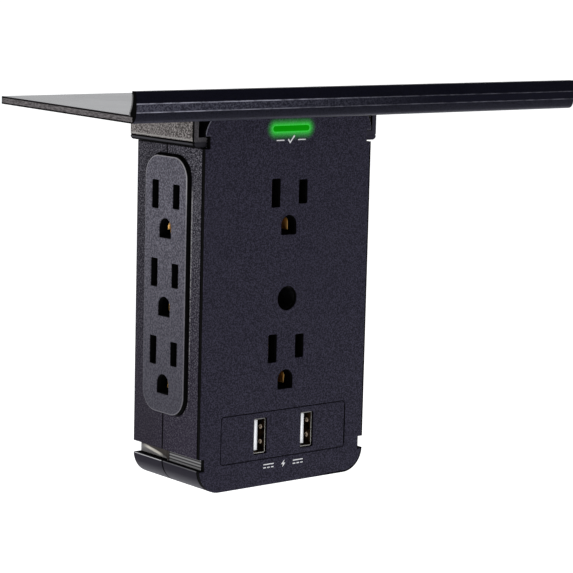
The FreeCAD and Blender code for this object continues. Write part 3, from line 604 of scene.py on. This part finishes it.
def strip_finish():
    """Fine grain on the face, darker towards the bottom as painted shade, a painted highlight on the
    bevelled edge, and black side walls.
    """
    face = max(abs(v) for v in (low_high("left_outlet_strip")[0].x, low_high("right_outlet_strip")[1].x))
    s, height = grained("strip_grain", (0.04, 0.038, 0.054), (0.155, 0.15, 0.185), grain=0.55 * MM,
                        roughness=0.55, specular=0.12)
    up = s.axis("Z")
    # painted shade: the face goes darker towards the bottom
    s.tint(s.spread(up, 50 * MM, -45 * MM, 0.0, 0.72), (0.022, 0.021, 0.032))
    away = s.from_corners(s.off(s.axis("Y"), STRIP_Y), s.off(up, STRIP_Z), STRIP_W / 2, STRIP_H / 2, STRIP_R)
    # painted highlight: a light band along the bevelled edge, strongest at the top
    edge = s.past(away, STRIP_R - 0.6 * MM, STRIP_R - 0.4 * MM)
    s.tint(s.both(edge, s.spread(up, 25 * MM, 47 * MM, 0.22, 0.9)), (0.38, 0.375, 0.4))
    side = s.past(s.axis("X", True), face - 0.15 * MM, face - 0.28 * MM)
    s.tint(side, BLACK)
    s.rough_where(side)
    s.bump(s.both(height, s.without(side)), 0.04 * MM)
    return s


def bracket_finish():
    """Coarse bright spark on the sides; the front end and the rail along the bottom are smooth."""
    s, height = grained("bracket_spark", (0.045, 0.04, 0.038), (0.42, 0.39, 0.385), grain=0.45 * MM,
                        roughness=0.6, specular=0.04, low=0.42, high=0.7, share=0.6)
    low = low_high("shelf_bracket")[0]
    up, front, flank = s.axis("Z"), s.facing("Y"), s.facing("X")
    rail = s.past(up, BRACKET_LINE_Z + 0.2 * MM, BRACKET_LINE_Z)
    # painted shade: the front end and the rail go darker and bluer on the right arm
    right, shaded = s.past(s.axis("X"), 0.0, 10 * MM), (0.03, 0.028, 0.043)
    s.tint(s.both(front, s.spread(right, 0.0, 1.0, 0.86, 0.97)), s.mix(right, (0.05, 0.048, 0.056), shaded))
    s.tint(rail, s.mix(right, (0.024, 0.023, 0.029), shaded))
    # painted highlights: a light line above the groove, and a lighter line low on the rail
    s.tint(s.both(s.line(up, BRACKET_LINE_Z + 0.75 * MM, 0.3 * MM), flank), (0.34, 0.33, 0.32))
    s.tint(s.both(s.line(up, low.z + 1.25 * MM, 0.3 * MM), flank), (0.05, 0.05, 0.055))
    front_edge = s.both(flank, s.past(s.axis("Y"), low.y + 1.2 * MM, low.y + 0.9 * MM))
    # painted shade: dark lines in the groove, along the bottom and at the front edge of the flanks
    dark = s.any_of(s.line(up, BRACKET_LINE_Z, 0.4 * MM), s.past(up, low.z + 0.75 * MM, low.z + 0.6 * MM),
                    front_edge)
    dark = s.both(dark, s.without(s.both(front, 0.85)))
    s.tint(dark, BLACK)
    smooth = s.any_of(front, rail)
    s.rough_where(smooth, 0.6)
    s.rough_where(dark)
    s.bump(s.both(height, s.without(smooth)), 0.12 * MM)
    return s


def lens_finish():
    """Glowing green lens, a little brighter towards its upper and lower edges."""
    s = Shader("lens_green", (0.001, 0.03, 0.002), 0.4, specular=0.0)
    up = s.off(s.axis("Z"), LED_Z)
    s.glow((0.002, 0.235, 0.0015), s.spread(up, 0.0, LED_H / 2, 0.97, 1.1))
    s.paint(s.mix(s.noise(500.0), (0.001, 0.02, 0.001), (0.0015, 0.04, 0.002)))
    s.soft_rough(0.4, 0.05)
    return s


def lip_finish():
    """Near-black rail in three bands of painted reflection and shade, lighter to the left, parted by two
    fine painted highlight lines; black ends with a painted highlight outline.
    """
    low, high = low_high("shelf_lip")
    s = Shader("lip_gloss", (0.0028, 0.0028, 0.0045), 0.3, specular=0.04)
    fleck = s.noise(1800.0)
    streak = s.noise(60.0, 5.0, 0.6, stretch=(1, 8, 8))
    tall, top = s.math("SUBTRACT", s.axis("Z"), low.z), high.z - low.z
    lower, upper = LIP_LINES
    # painted reflection and shade: the rail is lighter to the left, darker in its upper band and lighter in
    # its lower band, most of all at its foot
    left = s.past(s.axis("X"), 30 * MM, -100 * MM)
    above = s.past(tall, upper - 0.05 * MM, upper + 0.1 * MM)
    below = s.past(tall, lower + 0.1 * MM, lower - 0.05 * MM)
    s.paint(s.mix(left, (0.0025, 0.0025, 0.009), (0.04, 0.04, 0.059)))
    s.tint(above, (0.003, 0.003, 0.0075))
    s.tint(below, (0.0095, 0.0095, 0.0175))
    s.tint(s.both(below, s.past(tall, 1.1 * MM, 0.5 * MM)), (0.028, 0.028, 0.042))
    s.tint(s.spread(fleck, 0.5, 0.62, 0.0, 0.6), (0.0012, 0.0012, 0.003))
    between = s.without(s.any_of(above, below))
    # light flecks of dust, only on the middle band and fading out to the right with the painted reflection
    s.tint(s.both(s.spread(fleck, 0.5, 0.38, 0.0, 0.4), between, left), (0.12, 0.12, 0.15))
    # painted highlights: two fine, wavering light lines along the rail that fade to the right
    wobble = s.spread(s.noise(260.0, 4.0, 0.7, stretch=(1, 4, 4)), 0.38, 0.58, 0.25, 1.0)
    lower_fade, upper_fade = s.spread(left, 0.4, 1.0, 0.22, 1.0), s.spread(left, 0.2, 0.6, 0.16, 0.85)
    for height, fade in ((lower, lower_fade), (upper, upper_fade)):
        s.tint(s.both(s.line(tall, height, 0.24 * MM), fade, wobble), (0.36, 0.36, 0.44))
    end = s.facing("X")
    s.tint(end, BLACK)
    short = s.past(tall, top, LIP_FOOT * MM)
    sweep = s.math("MULTIPLY", s.math("POWER", short, 3.0), LIP_SWEEP * MM)
    back = s.math("ADD", sweep, low.y + LIP_BACK * MM)
    inner = s.math("SUBTRACT", s.axis("Y"), back)
    # painted highlight: a light line along the rear edge of each black end
    rim = s.both(s.past(inner, -0.9 * MM, -0.6 * MM), s.past(tall, top - 0.6 * MM, top - 1.8 * MM))
    s.tint(s.both(rim, end, 0.85), (0.17, 0.17, 0.175))
    s.rough(s.spread(streak, 0.3, 0.7, 0.26, 0.4))
    s.rough_where(end)
    s.bump(streak, 0.02 * MM)
    return s


def board_finish():
    """Smooth black sheets top and bottom over a matt brown-grey core that shows at the edges."""
    high = low_high("shelf_board")[1]
    s = Shader("shelf_sheet", (0.012, 0.012, 0.013), 0.2, specular=0.1)
    grime = s.noise(14.0, 5.0, 0.65)
    s.paint(s.mix(s.past(grime, 0.4, 0.8), (0.008, 0.008, 0.009), (0.016, 0.016, 0.017)))
    s.rough(s.spread(grime, 0.3, 0.8, 0.17, 0.24))
    drop = s.math("MULTIPLY", s.math("SUBTRACT", s.axis("Y"), high.y), math.tan(BOARD_SLOPE))
    rise = s.math("SUBTRACT", s.math("SUBTRACT", s.axis("Z"), high.z - BOARD_T), drop)
    edge = s.without(s.facing("Z"))
    core = s.both(s.past(rise, 0.5 * MM, 0.62 * MM), s.past(rise, BOARD_T - 0.5 * MM, BOARD_T - 0.62 * MM))
    grain = s.noise(1900.0, 3.0, 0.6, stretch=(1, 0.3, 1.2))
    s.tint(edge, BLACK)
    fibre = s.mix(s.past(grain, 0.4, 0.62), (0.06, 0.055, 0.057), (0.15, 0.14, 0.145))
    s.tint(s.both(core, edge), fibre)
    s.rough_where(edge)
    s.bump(s.both(grain, core), 0.05 * MM)
    s.bump(grime, 0.01 * MM)
    return s


def board_green_finish():
    """Green solder mask with paler tracks under it."""
    s = Shader("solder_mask", (0.01, 0.1, 0.03), 0.3)
    tracks = s.cells(260.0)
    s.paint(s.mix(s.past(tracks, 0.25, 0.35), (0.008, 0.08, 0.025), (0.015, 0.14, 0.045)))
    s.soft_rough(0.3, 0.08)
    s.bump(tracks, 0.02 * MM)
    return s


def tongue_finish():
    """White insulator, with a painted glow at its front end that stands in for light falling on it."""
    s = plain_plastic("tongue_white", (0.85, 0.86, 0.9), 0.4)
    # painted light: the front end glows
    s.glow((0.95, 0.97, 1), s.spread(s.axis("Y"), FRONT_Y + 2 * MM, FRONT_Y + 4.5 * MM, 0.45, 0.0))
    return s


def shell_finish():
    """Nickel-plated socket shell: bright at the rim, with painted shade darkening it towards the top and
    inside.
    """
    s = metal("nickel_shell", (0.42, 0.41, 0.39), 0.25, (1, 6, 1))
    rim = low_high("usb_left_shell")[0].y
    # painted shade: the shell darkens towards its top
    s.tint(s.spread(s.axis("Z"), USB_Z + 3 * MM, USB_Z + 6 * MM, 0.0, 0.7), (0.1, 0.1, 0.1))
    # painted shade: near black inside, with a brown mottle
    inside = s.past(s.axis("Y"), rim + 0.05 * MM, rim + 0.2 * MM)
    mottle = s.past(s.noise(400.0), 0.35, 0.65)
    s.tint(inside, s.mix(mottle, (0.002, 0.0015, 0.001), (0.07, 0.04, 0.018)))
    s.rough_where(inside, 0.5)
    return s


def dimple_finish():
    """Spring dimples: a tan ring with a darker middle."""
    s = plain_plastic("dimple_nickel", (0.62, 0.5, 0.38), 0.4)
    up = s.math("SUBTRACT", s.off(s.axis("Z"), USB_Z), DIMPLE_Z)
    along = s.math("SUBTRACT", s.axis("Y"), FRONT_Y + DIMPLE_DEEP)
    s.tint(s.past(s.length(up, along), 0.5 * MM, 0.3 * MM), (0.04, 0.03, 0.02))
    return s


def print_finish():
    """White ink, a little uneven."""
    s = Shader("white_print", (0.78, 0.78, 0.8), 0.55)
    s.paint(s.mix(s.noise(1500.0, 3.0), (0.6, 0.6, 0.63), (0.85, 0.85, 0.87)))
    s.soft_rough(0.55, 0.05)
    return s


FINISH = {
    "panel": panel_finish(),
    "case": case_finish(),
    "strip": strip_finish(),
    "bracket": bracket_finish(),
    "lip": lip_finish(),
    "board": board_finish(),
    "lens": lens_finish(),
    "resin": plain_plastic("clear_resin", (0.7, 0.75, 0.7), 0.15),
    "carrier": plain_plastic("carrier_black", (0.0006, 0.0006, 0.0006), 0.8, 0.01),
    "pin": plain_plastic("pin_black", (0.01, 0.01, 0.011), 0.35),
    "brass": metal("contact_brass", (1.0, 0.6, 0.2), 0.45, (1, 1, 6)),
    "blade": metal("blade_brass", (0.72, 0.56, 0.3), 0.22, (1, 8, 1)),
    "steel": metal("zinc_steel", (0.55, 0.56, 0.58), 0.28),
    "nickel": shell_finish(),
    "gold": metal("contact_gold", (0.75, 0.5, 0.22), 0.25),
    "dimple": dimple_finish(),
    "tongue": tongue_finish(),
    "mask": board_green_finish(),
    "epoxy": plain_plastic("varistor_epoxy", (0.02, 0.07, 0.3), 0.3),
    "ceramic": plain_plastic("fuse_ceramic", (0.7, 0.66, 0.55), 0.35),
    "film": plain_plastic("film_box", (0.75, 0.5, 0.05), 0.35),
    "ferrite": plain_plastic("ferrite", (0.02, 0.02, 0.022), 0.6),
    "copper": metal("enamelled_copper", (0.6, 0.24, 0.1), 0.3),
    "sleeve": plain_plastic("can_sleeve", (0.01, 0.012, 0.03), 0.3),
    "lead_black": plain_plastic("lead_black", (0.008, 0.008, 0.008), 0.45),
    "lead_white": plain_plastic("lead_white", (0.7, 0.7, 0.68), 0.45),
    "lead_green": plain_plastic("lead_green", (0.01, 0.18, 0.04), 0.45),
    "print": print_finish(),
}


def coat(piece, finish):
    """Gives a piece one finish as its only material."""
    piece.data.materials.clear()
    piece.data.materials.append(FINISH[finish].material)


def add(piece, body, slot, finish, *stands_for):
    """Finishes a new piece and puts it on its body, in place of the CAD parts it stands for."""
    coat(piece, finish)
    piece.modifiers.new("even", "WEIGHTED_NORMAL").keep_sharp = True
    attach(piece, body)
    if stands_for:
        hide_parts(*stands_for)


# ---- front panel ----
def make_front_panel():
    """Front face with its holes, and the line engraved round the USB sockets."""
    holes = [h for z in FRONT_ROWS for h in outlet(0, z, 1)]
    holes += [circle(0, 0, SCREW_HOLE_R), rounded(0, LED_Z, LED_W, LED_H, LED_H / 2 - 0.01 * MM, 8)]
    sockets = [rounded(s * USB_X, USB_Z, USB_W + 0.4 * MM, USB_H + 0.4 * MM, 0.5 * MM, 4) for s in (-1, 1)]
    outer = rounded(0, FRAME_Z, FRAME_W, FRAME_H, FRAME_R)
    inner = rounded(0, FRAME_Z, FRAME_W - 2 * FRAME_LINE, FRAME_H - 2 * FRAME_LINE, FRAME_R - FRAME_LINE)
    piece = moulded("front_panel_face", "y", case_outline(GROOVE_DEEP), holes, FRONT_Y, PANEL_BACK_Y,
                    (0.45 * MM, 0.1 * MM), (0.15 * MM, 0), (outer, inner, FRAME_DEEP, sockets))
    add(piece, "housing", "panel_black", "panel", "front_panel")


# ---- case halves ----
def opened(piece):
    """Cuts the two side openings that the outlet strips plug through."""
    gap = 0.15 * MM
    outline = rounded(STRIP_Y, STRIP_Z, STRIP_W + 2 * gap, STRIP_H + 2 * gap, STRIP_R + gap, 20)
    inner, outer = 34 * MM, HALF_W + 3 * MM
    for side in (-1, 1):
        tool = moulded("tool", "x", outline, [], *sorted((side * inner, side * outer)))
        cut = piece.modifiers.new("opening", "BOOLEAN")
        cut.operation, cut.solver, cut.object = "DIFFERENCE", "EXACT", tool
        bpy.context.view_layer.update()
        mesh = bpy.data.meshes.new_from_object(piece.evaluated_get(bpy.context.evaluated_depsgraph_get()))
        piece.modifiers.clear()
        piece.data = mesh
        bpy.data.objects.remove(tool)
    piece.data.set_sharp_from_angle(angle=SHARP)
    return piece


def make_case():
    """Walls of both halves, with the side openings cut in them."""
    rear = moulded("case_rear_wall", "y", case_outline(REAR_GROOVE_DEEP), [cavity_outline(REAR_GROOVE_DEEP)],
                   SEAM_Y, -WALL, (0.25 * MM, 0))
    front = moulded("case_front_wall", "y", case_outline(GROOVE_DEEP), [cavity_outline(GROOVE_DEEP)],
                    PANEL_BACK_Y, SEAM_Y, (0.25 * MM, 0.3 * MM))
    add(opened(rear), "housing", "dark_shell", "case", "rear_shell")
    add(opened(front), "housing", "dark_shell", "case", "front_shell")


def make_back_plate():
    """Back of the case, with holes for the screws and the prongs."""
    holes = [circle(x, z, CASE_SCREW_R) for x, z in CASE_SCREWS] + [circle(0, 0, WELL_R)]
    holes += [rounded(sx * SLOT_PITCH / 2, BLADE_Z, *BLADE_HOLE, 0.1 * MM, 2) for sx in (-1, 1)]
    holes += [rounded(0, z, TANG, TANG, 0.1 * MM, 2) for z in (BLADE_Z - GROUND_DROP, STABILISER_Z)]
    plate = moulded("case_back", "y", case_outline(REAR_GROOVE_DEEP), holes, -WALL, 0,
                    (0, 0.4 * MM), (0, 0.15 * MM))
    add(plate, "housing", "dark_shell", "case")


def make_front_lining():
    """Black plate behind the front panel, open behind each thing that the panel shows."""
    window, gap = 27 * MM, 0.02 * MM
    openings = [rounded(0, z - 5 * MM, window, window, 2 * MM, 6) for z in FRONT_ROWS]
    openings += [circle(0, 0, SCREW_HOLE_R + 1.95 * MM),
                 rounded(0, LED_Z, LED_W + 3.4 * MM, 5.4 * MM, 1 * MM, 4)]
    openings += [rounded(s * USB_X, USB_Z, USB_W + 0.8 * MM, USB_H + 0.8 * MM, 0.6 * MM, 3) for s in (-1, 1)]
    lining = moulded("case_front_lining", "y", inset(cavity_outline(GROOVE_DEEP), -0.5 * MM), openings,
                     PANEL_BACK_Y + gap, PANEL_BACK_Y + 1.7 * MM)
    add(lining, "housing", "dark_shell", "carrier")


def make_screw_tubes():
    """Tube of the mounting screw in three lengths of different bore, and the bosses of the case screws."""
    outside = SCREW_HOLE_R + 1.8 * MM
    lengths = (("screw_tube", SCREW_HOLE_R, PANEL_BACK_Y + 0.1 * MM, SEAT_FRONT),
               ("screw_seat", SEAT_R, SEAT_FRONT, SEAT_BACK),
               ("screw_well", WELL_R, SEAT_BACK, -WALL))
    for name, bore, lo, hi in lengths:
        tube = moulded(name, "y", circle(0, 0, outside), [circle(0, 0, bore)], lo, hi)
        add(tube, "housing", "dark_shell", "pin")
    boss_r, boss_front = 3.5 * MM, -9 * MM
    for k, (x, z) in enumerate(CASE_SCREWS):
        boss = moulded(f"screw_boss_{k}", "y", circle(x, z, boss_r), [circle(x, z, CASE_SCREW_R)],
                       boss_front, -WALL)
        add(boss, "housing", "dark_shell", "pin")


# ---- side strips ----
def make_strip(side, name):
    """Outlet strip: a face plate, a skirt behind it and a flange inside the case's wall."""
    low, high = low_high(name + "_outlet_strip")
    holes = [h for z in SIDE_ROWS for h in outlet(STRIP_Y, z, side)]
    outline = rounded(STRIP_Y, STRIP_Z, STRIP_W, STRIP_H, STRIP_R, 20)
    face, root = (high.x, low.x) if side > 0 else (low.x, high.x)
    thick, skirt_wall, rim, hole_rim = 2.0 * MM, 2.0 * MM, 0.6 * MM, 0.15 * MM
    back = face - side * thick
    ends = (back, face, (0, rim), (0, hole_rim)) if side > 0 else (face, back, (rim, 0), (hole_rim, 0))
    plate = moulded(name + "_strip_face", "x", outline, holes, *ends)
    inner = inset(outline, skirt_wall)
    skirt = moulded(name + "_strip_skirt", "x", outline, [inner], *sorted((back, root)))
    ledge, flange_t = 1.5 * MM, 1.4 * MM
    wide = rounded(STRIP_Y, STRIP_Z, STRIP_W + 2 * ledge, STRIP_H + 2 * ledge, STRIP_R + ledge, 12)
    flange = moulded(name + "_strip_flange", "x", wide, [inner], *sorted((root, root + side * flange_t)),
                     (0.2 * MM, 0.2 * MM))
    add(plate, "housing", "strip_black", "strip", name + "_outlet_strip")
    for part in (skirt, flange):
        add(part, "housing", "strip_black", "strip")


def make_ground_tips(side, name):
    """Curled brass tips of the ground contacts inside the ground holes of one strip."""
    low, high = low_high(f"{name}_outlet_strip")
    face = high.x if side > 0 else low.x
    curl = [(0.0, 2.75), (0.25, 2.4), (0.8, 2.12), (1.3, 2.05), (1.8, 2.1)]  # (depth, from the middle)
    starts = (3.3, 4.7, 4.6)  # depth of each row's tips, in mm
    thick, half_height, rim = 0.32 * MM, 1.6 * MM, (0.06 * MM, 0.06 * MM)
    for z, row, sunk in zip(SIDE_ROWS, ("upper", "middle", "lower"), starts):
        middle = z - GROUND_DROP + 0.7 * MM
        for turn, place in ((-1, "front"), (1, "rear")):
            inner = [(face - side * (sunk + d) * MM, STRIP_Y + turn * w * MM) for d, w in curl]
            outer = [(x, y + turn * thick) for x, y in inner]
            loop = inner + outer[::-1]
            if side * turn > 0:
                loop.reverse()
            piece = moulded(f"{name}_{row}_ground_tip_{place}", "z", loop, [], middle - half_height,
                            middle + half_height, rim)
            add(piece, "housing", "brass", "brass")


# ---- USB sockets ----
def make_dimples():
    """Spring dimples on each shell's right wall."""
    wall, radius, around = 0.37 * MM, 0.85 * MM, 24
    profile = ((1.0, 0.0), (0.86, 0.16), (0.62, 0.26), (0.36, 0.22), (0.2, 0.14))  # (share of radius, rise)
    angles = [math.tau * k / around for k in range(around)]
    for name in ("left", "right"):
        high = low_high(f"usb_{name}_shell")[1]
        for sz, place in ((-1, "low"), (1, "high")):
            bm = bmesh.new()
            centre = Vector((high.x - wall, FRONT_Y + DIMPLE_DEEP, USB_Z + sz * DIMPLE_Z))
            rings = []
            for share, rise in profile:
                r = radius * share
                rings.append([bm.verts.new(centre + Vector((-rise * MM, r * math.cos(a), r * math.sin(a))))
                              for a in angles])
            for a, b in zip(rings, rings[1:]):
                for k in range(around):
                    after = (k + 1) % around
                    bm.faces.new((a[k], a[after], b[after], b[k]))
            bm.faces.new(rings[-1])
            bmesh.ops.recalc_face_normals(bm, faces=bm.faces)
            add(to_object(bm, f"usb_{name}_dimple_{place}"), "housing", "usb_steel", "dimple")


# ---- shelf ----
def board_plane():
    """Turn that slopes a level shape like the board, about the board's rear lower edge."""
    high = low_high("shelf_board")[1]
    pivot = Matrix.Translation((0, high.y, high.z - BOARD_T))
    return pivot @ Matrix.Rotation(BOARD_SLOPE, 4, "X") @ pivot.inverted()


def make_lip():
    """Rail along the shelf's front: a stepped front face, and a curved back that stands on the board."""
    low, high = low_high("shelf_lip")
    y0, y1, z0, z1 = low.y, high.y, low.z, high.z
    board_high = low_high("shelf_board")[1]

    def at(dy, dz):
        return (y0 + dy * MM, z0 + dz * MM)

    def board_top(y):
        return board_high.z - TONGUE_STEP + (y - board_high.y) * math.tan(BOARD_SLOPE)

    tall = (z1 - z0) / MM
    front = [at(0.9, tall), at(0.66, tall - 0.07), at(0.51, tall - 0.22), at(0.45, tall - 0.45)]
    front += [at(0.1, 6.7), at(0.03, 6.58), at(0.03, 6.42), at(0.12, 6.3)]
    front += [at(0.16, 3.9), at(0.05, 3.78), at(0.05, 3.62), at(0.2, 3.5)]
    front += [at(0.3, 2.6), at(0.52, 1.8), at(0.85, 1.1), at(1.35, 0.5), at(2.05, 0.13), at(2.45, 0.05)]
    bite = y0 + LIP_BITE - 0.05 * MM
    rest = [(bite, board_top(bite)), (y1, board_top(y1))]
    for step in range(9):
        part = step / 8
        rest.append(at(LIP_BACK + LIP_SWEEP * (1 - part) ** 3, LIP_FOOT + (tall - LIP_FOOT) * part))
    piece = moulded("shelf_lip_rail", "x", front + rest, [], low.x, high.x, (0.2 * MM, 0.2 * MM))
    add(piece, "shelf", "lip_black", "lip", "shelf_lip")


def make_board():
    """The board behind the lip, and its thinner tongue that the lip bites."""
    low, high = low_high("shelf_board")
    lip_back = low_high("shelf_lip")[1].y
    base, top = high.z - BOARD_T, high.z
    start = lip_back + 0.1 * MM
    main = rounded(0, (start + high.y) / 2, 2 * high.x, high.y - start, 0.5 * MM, 4)
    piece = moulded("shelf_board_top", "z", main, [], base, top, (0.2 * MM, 0.2 * MM))
    piece.data.transform(board_plane())
    add(piece, "shelf", "shelf_black", "board", "shelf_board")
    reach = lip_back - low.y + 1 * MM
    tongue = rounded(0, low.y + reach / 2, 2 * high.x, reach, 0.3 * MM, 3)
    piece = moulded("shelf_board_tongue", "z", tongue, [], base, top - TONGUE_STEP, (0.2 * MM, 0))
    piece.data.transform(board_plane())
    add(piece, "shelf", "shelf_black", "board")


# ---- printed marks: a tick between two rules, a bolt between direct-current signs ----
def mark(name, shapes, z):
    """Thin print on the panel at height z, from shapes in millimetres."""
    b = Builder("y")
    proud, sunk = 0.025 * MM, 0.01 * MM
    for shape in shapes:
        loop = [(u * MM, z + v * MM) for u, v in shape]
        first, last = b.wall(loop, FRONT_Y - proud, FRONT_Y + sunk, 0, 0)
        b.cap([first])
        b.cap([last])
    add(b.finish(name), "housing", "panel_black", "print")


def bar(x0, x1, z0, z1):
    return [(x0, z0), (x1, z0), (x1, z1), (x0, z1)]


def make_marks():
    tick = [(-1.6, 0.2), (-0.5, -1.2), (1.8, 1.5), (1.35, 1.9), (-0.5, -0.35), (-1.2, 0.6)]
    mark("status_mark", [tick, bar(-6.8, -3.2, -0.1, 0.3), bar(3.2, 6.8, -0.1, 0.3)], STATUS_MARK_Z)
    signs = []
    for x in (-7.0, 7.0):
        signs.append(bar(x - 2.4, x + 2.4, 0.45, 0.85))
        signs += [bar(x + c - 0.6, x + c + 0.6, -0.75, -0.35) for c in (-1.8, 0, 1.8)]
    bolt = [(0.5, 1.4), (-1.0, -0.15), (-0.1, -0.15), (-0.5, -1.4), (1.0, 0.25), (0.1, 0.25)]
    mark("charge_mark", signs + [bolt], CHARGE_MARK_Z)


# ---- CAD parts that keep their shape: a finish, and softened edges on some ----
def dress(node, finish, bevel):
    piece = NODES[node]
    coat(piece, finish)
    piece.data.polygons.foreach_set("use_smooth", [True] * len(piece.data.polygons))
    piece.modifiers.new("weld", "WELD").merge_threshold = 1e-6
    if bevel:
        soft = piece.modifiers.new("bevel", "BEVEL")
        soft.width, soft.segments, soft.limit_method = bevel, 2, "ANGLE"
        soft.angle_limit = math.radians(40)
        soft.use_clamp_overlap = False
    piece.modifiers.new("even", "WEIGHTED_NORMAL").keep_sharp = False


DRESSED = {
    "bracket": ("shelf_bracket",),
    "lens": ("led_lens",),
    "resin": ("status_led",),
    "carrier": ("left_contact_carrier", "right_contact_carrier", "upper_contact_carrier",
                "lower_contact_carrier", "prong_block"),
    "pin": ("stabiliser_pin", "screw_retainer"),
    "brass": tuple(f"{side}_{role}_bus" for side in ("left", "right", "front")
                   for role in ("hot", "neutral", "ground")),
    "blade": ("hot_blade", "neutral_blade", "ground_pin"),
    "steel": ("mounting_screw", "case_screws", "board_screws", "shelf_screws"),
    "nickel": ("usb_left_shell", "usb_right_shell"),
    "gold": ("usb_left_contacts", "usb_right_contacts"),
    "tongue": ("usb_left_tongue", "usb_right_tongue"),
    "mask": ("surge_board", "usb_board"),
    "epoxy": ("line_varistor", "neutral_varistor", "ground_varistor"),
    "ceramic": ("thermal_fuse",),
    "film": ("x_capacitor",),
    "ferrite": ("choke_core", "transformer_core"),
    "copper": ("choke_winding", "transformer_winding"),
    "sleeve": ("bulk_capacitor", "output_capacitor"),
    "lead_black": ("hot_lead",),
    "lead_white": ("neutral_lead",),
    "lead_green": ("ground_lead",),
}
BEVELS = {"shelf_bracket": 0.25 * MM, "hot_blade": 0.15 * MM, "neutral_blade": 0.15 * MM,
          "usb_left_shell": 0.06 * MM, "usb_right_shell": 0.06 * MM}


# ---- stage, lights and camera ----
FLOOR_Z = -0.30
CAMERA_AT = Vector((-0.5134, -0.6700, 0.1273))
AZIMUTH, ELEVATION, ROLL, LENS = -39.22, 8.62, 1.43, 140.5


def make_stage():
    """Wide pale floor under the object, bright enough to look white."""
    bm = bmesh.new()
    bmesh.ops.create_circle(bm, cap_ends=True, radius=60, segments=96)
    floor = to_object(bm, "floor")
    floor.location.z = FLOOR_Z
    s = Shader("pale_floor", (0.8, 0.8, 0.8), 0.9, specular=0.1)
    fill(s.bsdf, {"Emission Color": (1, 1, 1, 1), "Emission Strength": 0.75})
    s.paint(s.mix(s.noise(3.0), (0.79, 0.79, 0.79), (0.81, 0.81, 0.81)))
    floor.data.materials.append(s.material)


def make_world():
    """Dim in front and above, bright behind the object."""
    world = bpy.data.worlds.new("studio")
    bpy.context.scene.world = world
    world.use_nodes = True
    tree = world.node_tree
    back = tree.nodes["Background"]
    place = tree.nodes.new("ShaderNodeTexCoord").outputs["Generated"]
    toward = tree.nodes.new("ShaderNodeVectorMath")
    toward.operation = "DOT_PRODUCT"
    toward.inputs[1].default_value = (0.45, 0.85, 0.1)
    tree.links.new(place, toward.inputs[0])
    ramp = tree.nodes.new("ShaderNodeMapRange")
    ramp.interpolation_type = "SMOOTHSTEP"
    fill(ramp, {"From Min": -0.3, "From Max": 0.8, "To Min": 0.12, "To Max": 1.0})
    tree.links.new(toward.outputs["Value"], ramp.inputs["Value"])
    tree.links.new(ramp.outputs["Result"], back.inputs["Strength"])
    fill(back, {"Color": (0.97, 0.98, 1.0, 1)})


def area(name, at, towards, size, power, color):
    """Rectangular light at one point, turned towards another."""
    data = bpy.data.lights.new(name, "AREA")
    data.shape = "RECTANGLE"
    data.size, data.size_y = size
    data.energy = power
    data.color = color
    light = bpy.data.objects.new(name, data)
    light.location = at
    light.rotation_mode = "QUATERNION"
    light.rotation_quaternion = (Vector(towards) - Vector(at)).to_track_quat("-Z", "Y")
    bpy.context.scene.collection.objects.link(light)


def make_lights():
    area("left_soft", (-1.6, -0.1, 0.5), (0, 0, 0.02), (0.9, 0.9), 9.0, (1.0, 0.98, 0.95))
    area("top_soft", (0.1, -0.3, 1.6), (0, 0, 0), (1.2, 1.2), 10.0, (1, 1, 1))
    area("front_fill", (0.4, -1.8, 0.5), (0, 0, 0), (1.0, 0.8), 3.0, (0.92, 0.94, 1.0))


def make_camera():
    data = bpy.data.cameras.new("camera")
    data.lens = LENS
    data.sensor_width = 36
    camera = bpy.data.objects.new("camera", data)
    a, e = math.radians(AZIMUTH), math.radians(ELEVATION)
    ahead = Vector((-math.sin(a) * math.cos(e), math.cos(a) * math.cos(e), -math.sin(e)))
    camera.location = CAMERA_AT
    camera.rotation_mode = "QUATERNION"
    roll = Matrix.Rotation(math.radians(ROLL), 3, "Z").to_quaternion()
    camera.rotation_quaternion = ahead.to_track_quat("-Z", "Y") @ roll
    bpy.context.scene.collection.objects.link(camera)
    bpy.context.scene.camera = camera


make_camera()
make_stage()
make_world()
make_lights()
bpy.context.scene.view_settings.view_transform = "Standard"

make_front_panel()
make_case()
make_back_plate()
make_front_lining()
make_screw_tubes()
make_strip(-1, "left")
make_strip(1, "right")
make_lip()
make_board()
make_marks()
make_dimples()
make_ground_tips(-1, "left")
make_ground_tips(1, "right")
for finish, nodes in DRESSED.items():
    for node in nodes:
        dress(node, finish, BEVELS.get(node, 0.0))
